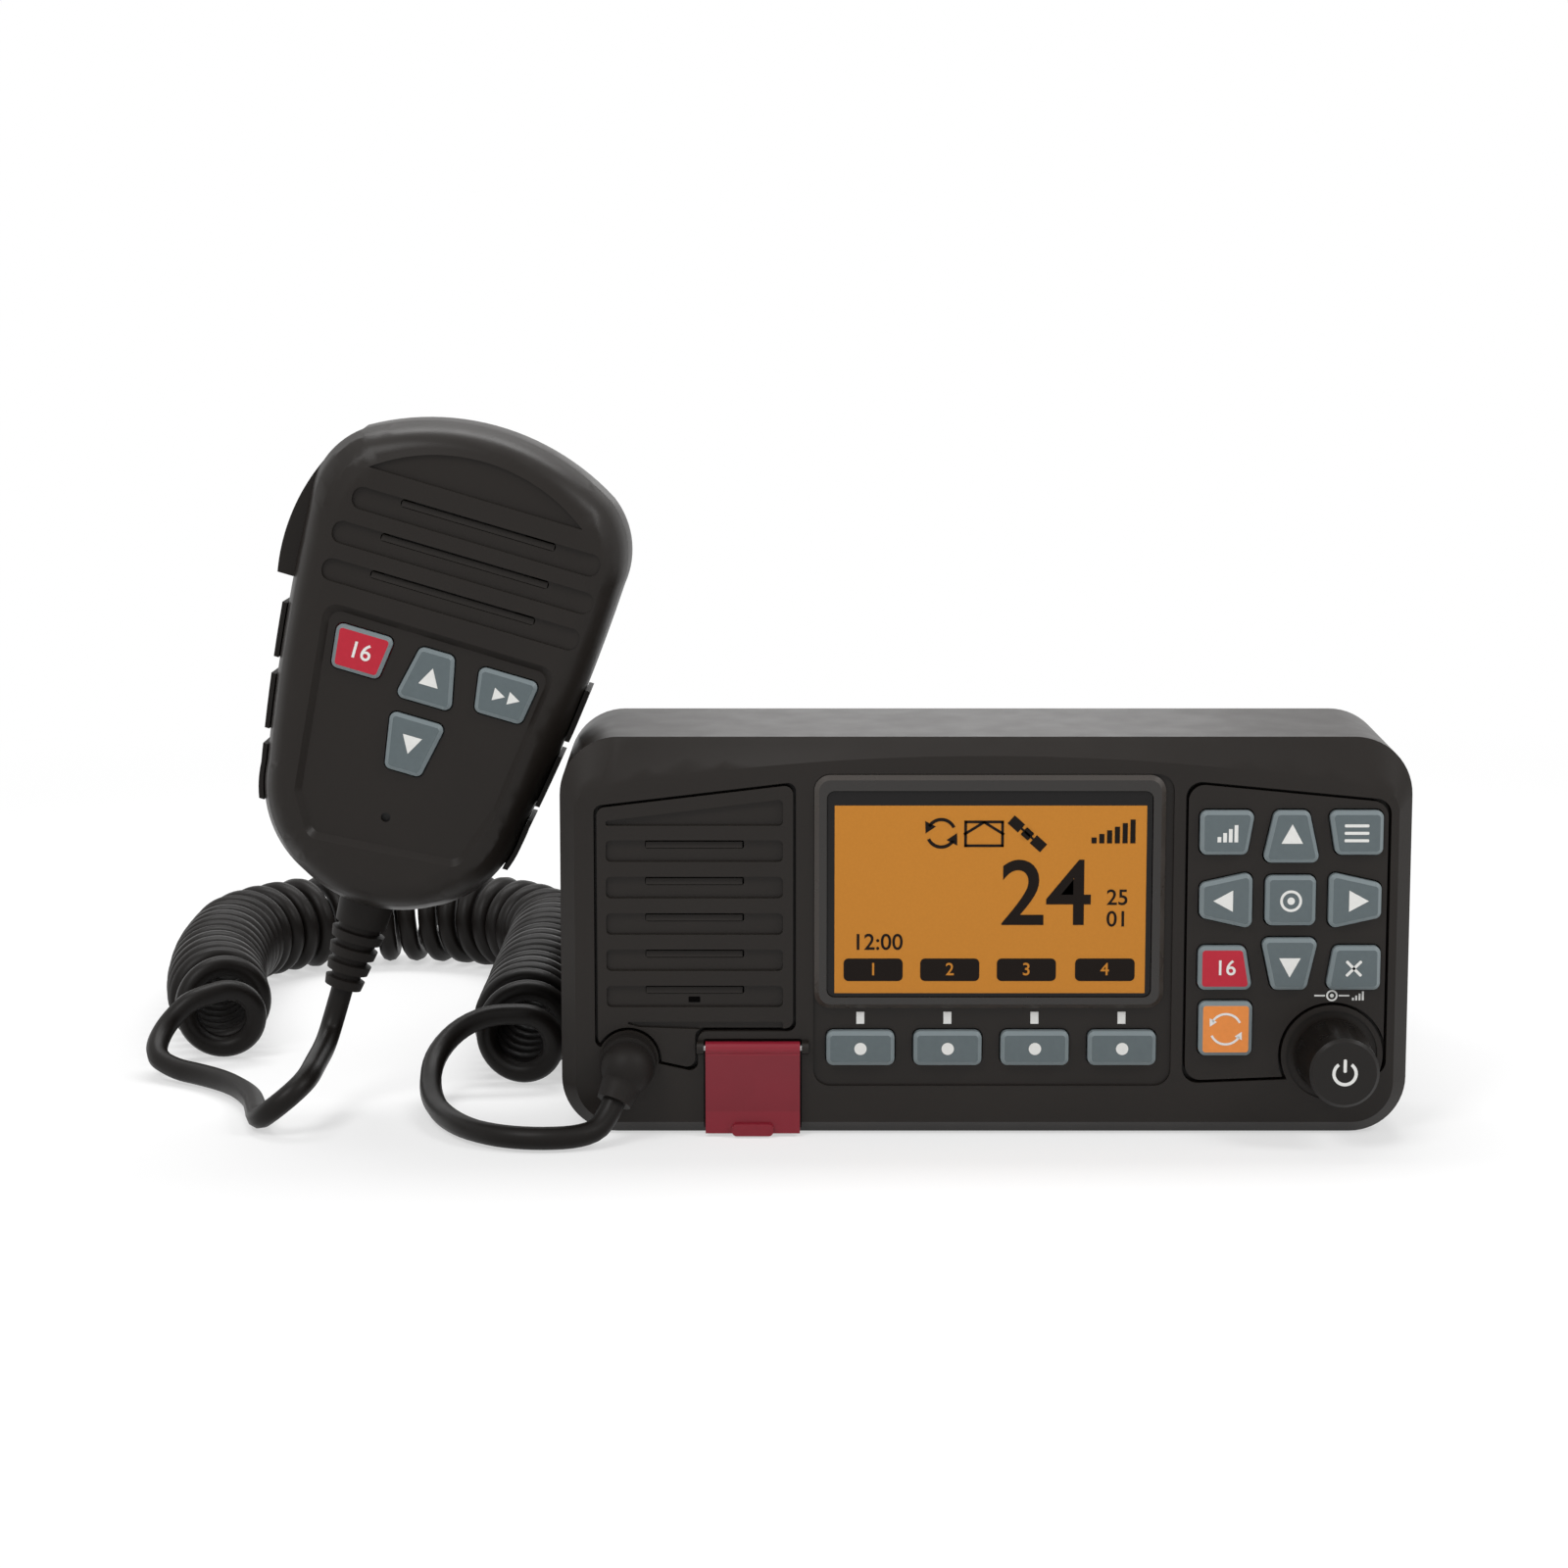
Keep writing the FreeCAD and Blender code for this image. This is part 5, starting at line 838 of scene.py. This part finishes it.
# Control points of the cord's two tails, in millimetres, each from where it leaves its boot.
MIC_TAIL = (
    (-124.15, -50, 23.52), (-126.13, -50, 16.81), (-127.2, -54.5, 12.6), (-127.9, -64.2, 11.2),
    (-128.2, -73.1, 10.3), (-131, -76.7, 7.9), (-135, -76.7, 4.7), (-137.8, -73.1, 2.4),
    (-139.4, -64.6, 2.3), (-141.2, -56.2, 2.3), (-144.4, -48.2, 2.3), (-149, -41, 2.4),
    (-154.8, -35, 2.4), (-161, -30.6, 2.6), (-166.2, -25.6, 4.4), (-164.84, -17.58, 9.24),
    (-161.3, -16, 12.4),
)
RADIO_TAIL = (
    (-69.75, -82.15, 7.85), (-71.51, -84.41, 3.75), (-75.5, -87, 2.4), (-82.4, -88.8, 2.4),
    (-90, -87.2, 2.4), (-96.6, -81.8, 2.4), (-101.4, -73.6, 2.4), (-105, -63.6, 2.6),
    (-107.2, -53.4, 4.2), (-107.2, -44.4, 8), (-103.4, -38.8, 12.2), (-97.4, -36.6, 14.9),
)
COIL_LEFT_END = ((-160.03, -15.43, 13.54), (-161.3, -16, 12.4))

# The coil's middle line, in millimetres: straight, then a half circle, then a wide arc.
COIL_ROUTE_HEART = (-127.0, 62.0)
COIL_STRAIGHT = (-33.5, -12.0, 20.0)
COIL_BEND, COIL_BEND_STEPS = 36.5, 6
COIL_LEFT_RADIUS = 280.0
COIL_LEFT_STEP, COIL_LEFT_STEPS = math.radians(3), 5

POINTS_PER_TURN = 16
SPLINE_PULL = 0.8
END_LOOP_TURNS = 1.5
END_LOOP_SHRINK = 0.26
END_LOOP_FORWARD = 2.6 * MM
END_LOOP_DROP = 2.1 * MM


def spline_object(name, points):
    """A NURBS spline with these points, in metres, as its control points."""
    data = bpy.data.curves.new(name, "CURVE")
    data.dimensions = "3D"
    spline = data.splines.new("NURBS")
    spline.points.add(len(points) - 1)
    for slot, point in zip(spline.points, points):
        slot.co = (*point, 1.0)
    spline.order_u = 3
    spline.use_endpoint_u = True
    obj = bpy.data.objects.new(name, data)
    bpy.context.scene.collection.objects.link(obj)
    return obj


def read_line(obj, fineness):
    """Points along a spline, as Blender draws it without a bevel."""
    obj.data.resolution_u = fineness
    mesh = bpy.data.meshes.new_from_object(obj)
    points = [v.co.copy() for v in mesh.vertices]
    bpy.data.meshes.remove(mesh)
    return points


def coil_route():
    """The coil's middle line: straight beside the radio, round behind, and back on the left."""
    hx, hy = COIL_ROUTE_HEART
    right, left = hx + COIL_BEND, hx - COIL_BEND
    step = math.pi / COIL_BEND_STEPS
    points = [(right, y) for y in COIL_STRAIGHT] + [(right, hy - COIL_BEND * math.tan(step / 2))]
    corner = COIL_BEND / math.cos(step / 2)
    points += [(hx + corner * math.cos(step * (n + 0.5)), hy + corner * math.sin(step * (n + 0.5)))
               for n in range(COIL_BEND_STEPS)]
    far = COIL_LEFT_RADIUS / math.cos(COIL_LEFT_STEP / 2)
    turns = [(far, COIL_LEFT_STEP * (n + 0.5)) for n in range(COIL_LEFT_STEPS)]
    turns.append((COIL_LEFT_RADIUS, COIL_LEFT_STEP * COIL_LEFT_STEPS))
    points += [(left + COIL_LEFT_RADIUS - reach * math.cos(turn), hy - reach * math.sin(turn))
               for reach, turn in turns]
    height = sizes().coil_height
    return [(x * MM, y * MM, height) for x, y in points]


def end_share(turns_away):
    """1 at the very end of the coil, falling smoothly to 0 over its last loops."""
    share = max(0.0, 1 - turns_away / END_LOOP_TURNS)
    return share * share * (3 - 2 * share)


def coil_turns():
    """Control points of the curls, wound about points read from the route's spline."""
    route = spline_object("coil_route", coil_route())
    line = read_line(route, 24)
    bpy.data.objects.remove(route)
    steps = [0.0]
    for a, b in zip(line, line[1:]):
        steps.append(steps[-1] + (b - a).length)
    turns = sizes().coil_turns
    # The spline runs inside its control points, so these lie a little further out.
    radius = sizes().coil_radius / math.cos(math.pi / POINTS_PER_TURN) ** SPLINE_PULL
    count = int(turns * POINTS_PER_TURN)
    points = []
    span = 0
    for number in range(count + 1):
        turn = turns * number / count
        want = steps[-1] * number / count
        while span < len(steps) - 2 and steps[span + 1] < want:
            span += 1
        a, b = line[span], line[span + 1]
        place = a.lerp(b, (want - steps[span]) / (steps[span + 1] - steps[span]))
        along = (b - a).normalized()
        side = Vector((along.y, -along.x, 0))
        angle = 2 * math.pi * turn
        shrink = end_share(turn) + end_share(turns - turn)
        reach = radius * (1 - END_LOOP_SHRINK * shrink)
        forward = along * (END_LOOP_FORWARD * (end_share(turns - turn) - end_share(turn)))
        lift = reach * math.cos(angle) - END_LOOP_DROP * shrink
        points.append(place + forward + side * (reach * math.sin(angle)) + Vector((0, 0, lift)))
    return points


def tube(obj):
    obj.data.bevel_depth = sizes().cord_diameter / 2
    obj.data.bevel_resolution = 3
    obj.data.use_fill_caps = True
    return obj


class MARINE_RADIO_OT_cord(bpy.types.Operator):
    """The cord from the radio's boot through all of its curls"""
    bl_idname = "marine_radio.cord"
    bl_label = "Curly cord"

    def execute(self, context):
        start = [Vector(p) * MM for p in RADIO_TAIL]
        curls = coil_turns()
        points = start + curls[:-1] + [Vector(p) * MM for p in COIL_LEFT_END]
        cord = tube(spline_object("curly_cord", points))
        cord.data.resolution_u = 4
        cord.data.materials.append(FINISHES["cord"].material)
        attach(cord, "radio")
        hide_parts("cord_coil", "cord_tail_radio")
        return {"FINISHED"}


class MARINE_RADIO_OT_handset_cord(bpy.types.Operator):
    """The cord's free end at the hand microphone"""
    bl_idname = "marine_radio.handset_cord"
    bl_label = "Microphone cord"

    def execute(self, context):
        points = [Vector(p) * MM for p in MIC_TAIL]
        cord = spline_object("microphone_cord", points)
        path = read_line(cord, 12)
        cord.data.resolution_u = 12
        pick(tube(cord))
        bpy.ops.object.convert(target="MESH")
        cord = bpy.context.object
        cord.name = "microphone_cord"
        outward(cord)
        bpy.ops.object.shade_smooth_by_angle(angle=math.radians(60))
        dress(cord, "cord")
        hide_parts("cord_tail_handset")
        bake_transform(cord)
        return {"FINISHED"}


def area_light(name, place, aim, size, power):
    deselect()
    bpy.ops.object.light_add(type="AREA", location=place)
    lamp = bpy.context.object
    lamp.name = name
    lamp.data.shape = "RECTANGLE"
    lamp.data.size, lamp.data.size_y = size
    lamp.data.energy = power
    lamp.rotation_euler = (Vector(aim) - Vector(place)).to_track_quat("-Z", "Y").to_euler()
    return lamp


CAMERA_PLACE = (-37.9 * MM, -718.67 * MM, 157.38 * MM)
CAMERA_AIM = (-37.9 * MM, -75.0 * MM, 66.92 * MM)
SKY_STRENGTH = 0.4
FLOOR_GLOW_NEAR = 0.55
FLOOR_GLOW_FROM, FLOOR_GLOW_FULL = 0.22, 0.6
# name, place, aim, size in metres and power in watts
LAMPS = (
    ("key", (-0.45, -0.7, 0.85), (-0.03, -0.05, 0.05), (0.4, 0.4), 4.4),
    ("overhead", (-0.05, 0.25, 0.75), (-0.03, -0.05, 0.06), (0.7, 0.25), 4.0),
    ("top sheen", (0.03, 0.62, 0.24), (0.0, -0.06, 0.077), (0.2, 0.1), 0.08),
    ("side", (0.6, -0.4, 0.62), (0.0, -0.05, 0.05), (0.25, 0.3), 2.4),
)


class MARINE_RADIO_OT_stage(bpy.types.Operator):
    """Floor, lights and camera"""
    bl_idname = "marine_radio.stage"
    bl_label = "Stage"

    def execute(self, context):
        deselect()
        bpy.ops.mesh.primitive_plane_add(size=30, location=(0, 0, -0.0002))
        floor = bpy.context.object
        floor.name = "floor"
        paint = Finish("Pale floor")
        paint.put("Base Color", paint.mix(tone(243, 243, 243), tone(246, 246, 246), paint.noise(3, 2)))
        paint.put("Roughness", 0.9)
        rays = [paint.node("ShaderNodeLightPath", outlet="Is %s Ray" % kind)
                for kind in ("Camera", "Glossy", "Transmission")]
        distance = paint.node("ShaderNodeVectorMath", {"operation": "LENGTH"}, {0: paint.place()},
                              outlet="Value")
        plain = FLOOR_GLOW_NEAR + distance.rise(FLOOR_GLOW_FROM, FLOOR_GLOW_FULL) * (1 - FLOOR_GLOW_NEAR)
        share = (rays[0] + rays[1] + rays[2]) * plain
        glow = paint.node("ShaderNodeEmission", inputs={"Color": (1.0, 1.0, 1.0)})
        blend = paint.node("ShaderNodeMixShader",
                           inputs={0: share, 1: Tap(paint, paint.shader.outputs[0]), 2: glow})
        paint.feed(paint.tree.nodes["Material Output"].inputs["Surface"], blend)
        floor.data.materials.append(paint.material)
        world = bpy.data.worlds.new("Studio")
        world.use_nodes = True
        tree = world.node_tree
        sky = tree.nodes["Background"]
        sky.inputs["Color"].default_value = (1, 1, 1, 1)
        sky.inputs["Strength"].default_value = SKY_STRENGTH
        shown = tree.nodes.new("ShaderNodeBackground")
        shown.inputs["Strength"].default_value = 1.0
        shown.inputs["Color"].default_value = (1, 1, 1, 1)
        rays = tree.nodes.new("ShaderNodeLightPath")
        either, any_ray = tree.nodes.new("ShaderNodeMath"), tree.nodes.new("ShaderNodeMath")
        either.operation = any_ray.operation = "MAXIMUM"
        tree.links.new(rays.outputs["Is Camera Ray"], either.inputs[0])
        tree.links.new(rays.outputs["Is Glossy Ray"], either.inputs[1])
        tree.links.new(either.outputs[0], any_ray.inputs[0])
        tree.links.new(rays.outputs["Is Transmission Ray"], any_ray.inputs[1])
        choice = tree.nodes.new("ShaderNodeMixShader")
        tree.links.new(any_ray.outputs[0], choice.inputs[0])
        tree.links.new(sky.outputs[0], choice.inputs[1])
        tree.links.new(shown.outputs[0], choice.inputs[2])
        tree.links.new(choice.outputs[0], tree.nodes["World Output"].inputs["Surface"])
        bpy.context.scene.world = world
        for lamp in LAMPS:
            area_light(*lamp)
        data = bpy.data.cameras.new("camera")
        data.sensor_width = 36
        data.lens = sizes().camera_lens
        camera = bpy.data.objects.new("camera", data)
        bpy.context.scene.collection.objects.link(camera)
        camera.location = CAMERA_PLACE
        camera.rotation_euler = (Vector(CAMERA_AIM) - Vector(CAMERA_PLACE)).to_track_quat("-Z", "Y").to_euler()
        bpy.context.scene.camera = camera
        bpy.context.scene.view_settings.view_transform = "Standard"
        return {"FINISHED"}


OPERATORS = (
    MARINE_RADIO_OT_stage, MARINE_RADIO_OT_finishes, MARINE_RADIO_OT_cord, MARINE_RADIO_OT_handset_cord,
    MARINE_RADIO_OT_shells, MARINE_RADIO_OT_display, MARINE_RADIO_OT_key_symbols,
    MARINE_RADIO_OT_knob_symbols, MARINE_RADIO_OT_blades, MARINE_RADIO_OT_mic_symbols,
    MARINE_RADIO_OT_aerial_thread,
)


class MARINE_RADIO_PT_panel(bpy.types.Panel):
    """Sizes, colours and steps of the radio"""
    bl_idname = "MARINE_RADIO_PT_panel"
    bl_label = "Marine radio"
    bl_space_type = "VIEW_3D"
    bl_region_type = "UI"
    bl_category = "Radio"

    def draw(self, context):
        for group in (context.scene.radio_sizes, context.scene.radio_colours):
            box = self.layout.box()
            for name in group.__annotations__:
                box.prop(group, name)
        for operator in OPERATORS:
            self.layout.operator(operator.bl_idname)


CLASSES = (RadioSizes, RadioColours, *OPERATORS, MARINE_RADIO_PT_panel)


def register():
    for cls in CLASSES:
        bpy.utils.register_class(cls)
    bpy.types.Scene.radio_sizes = bpy.props.PointerProperty(type=RadioSizes)
    bpy.types.Scene.radio_colours = bpy.props.PointerProperty(type=RadioColours)


def unregister():
    del bpy.types.Scene.radio_colours
    del bpy.types.Scene.radio_sizes
    for cls in reversed(CLASSES):
        bpy.utils.unregister_class(cls)


def main():
    register()
    for operator in OPERATORS:
        getattr(bpy.ops.marine_radio, operator.bl_idname.split(".")[1])()


if __name__ == "__main__":
    main()
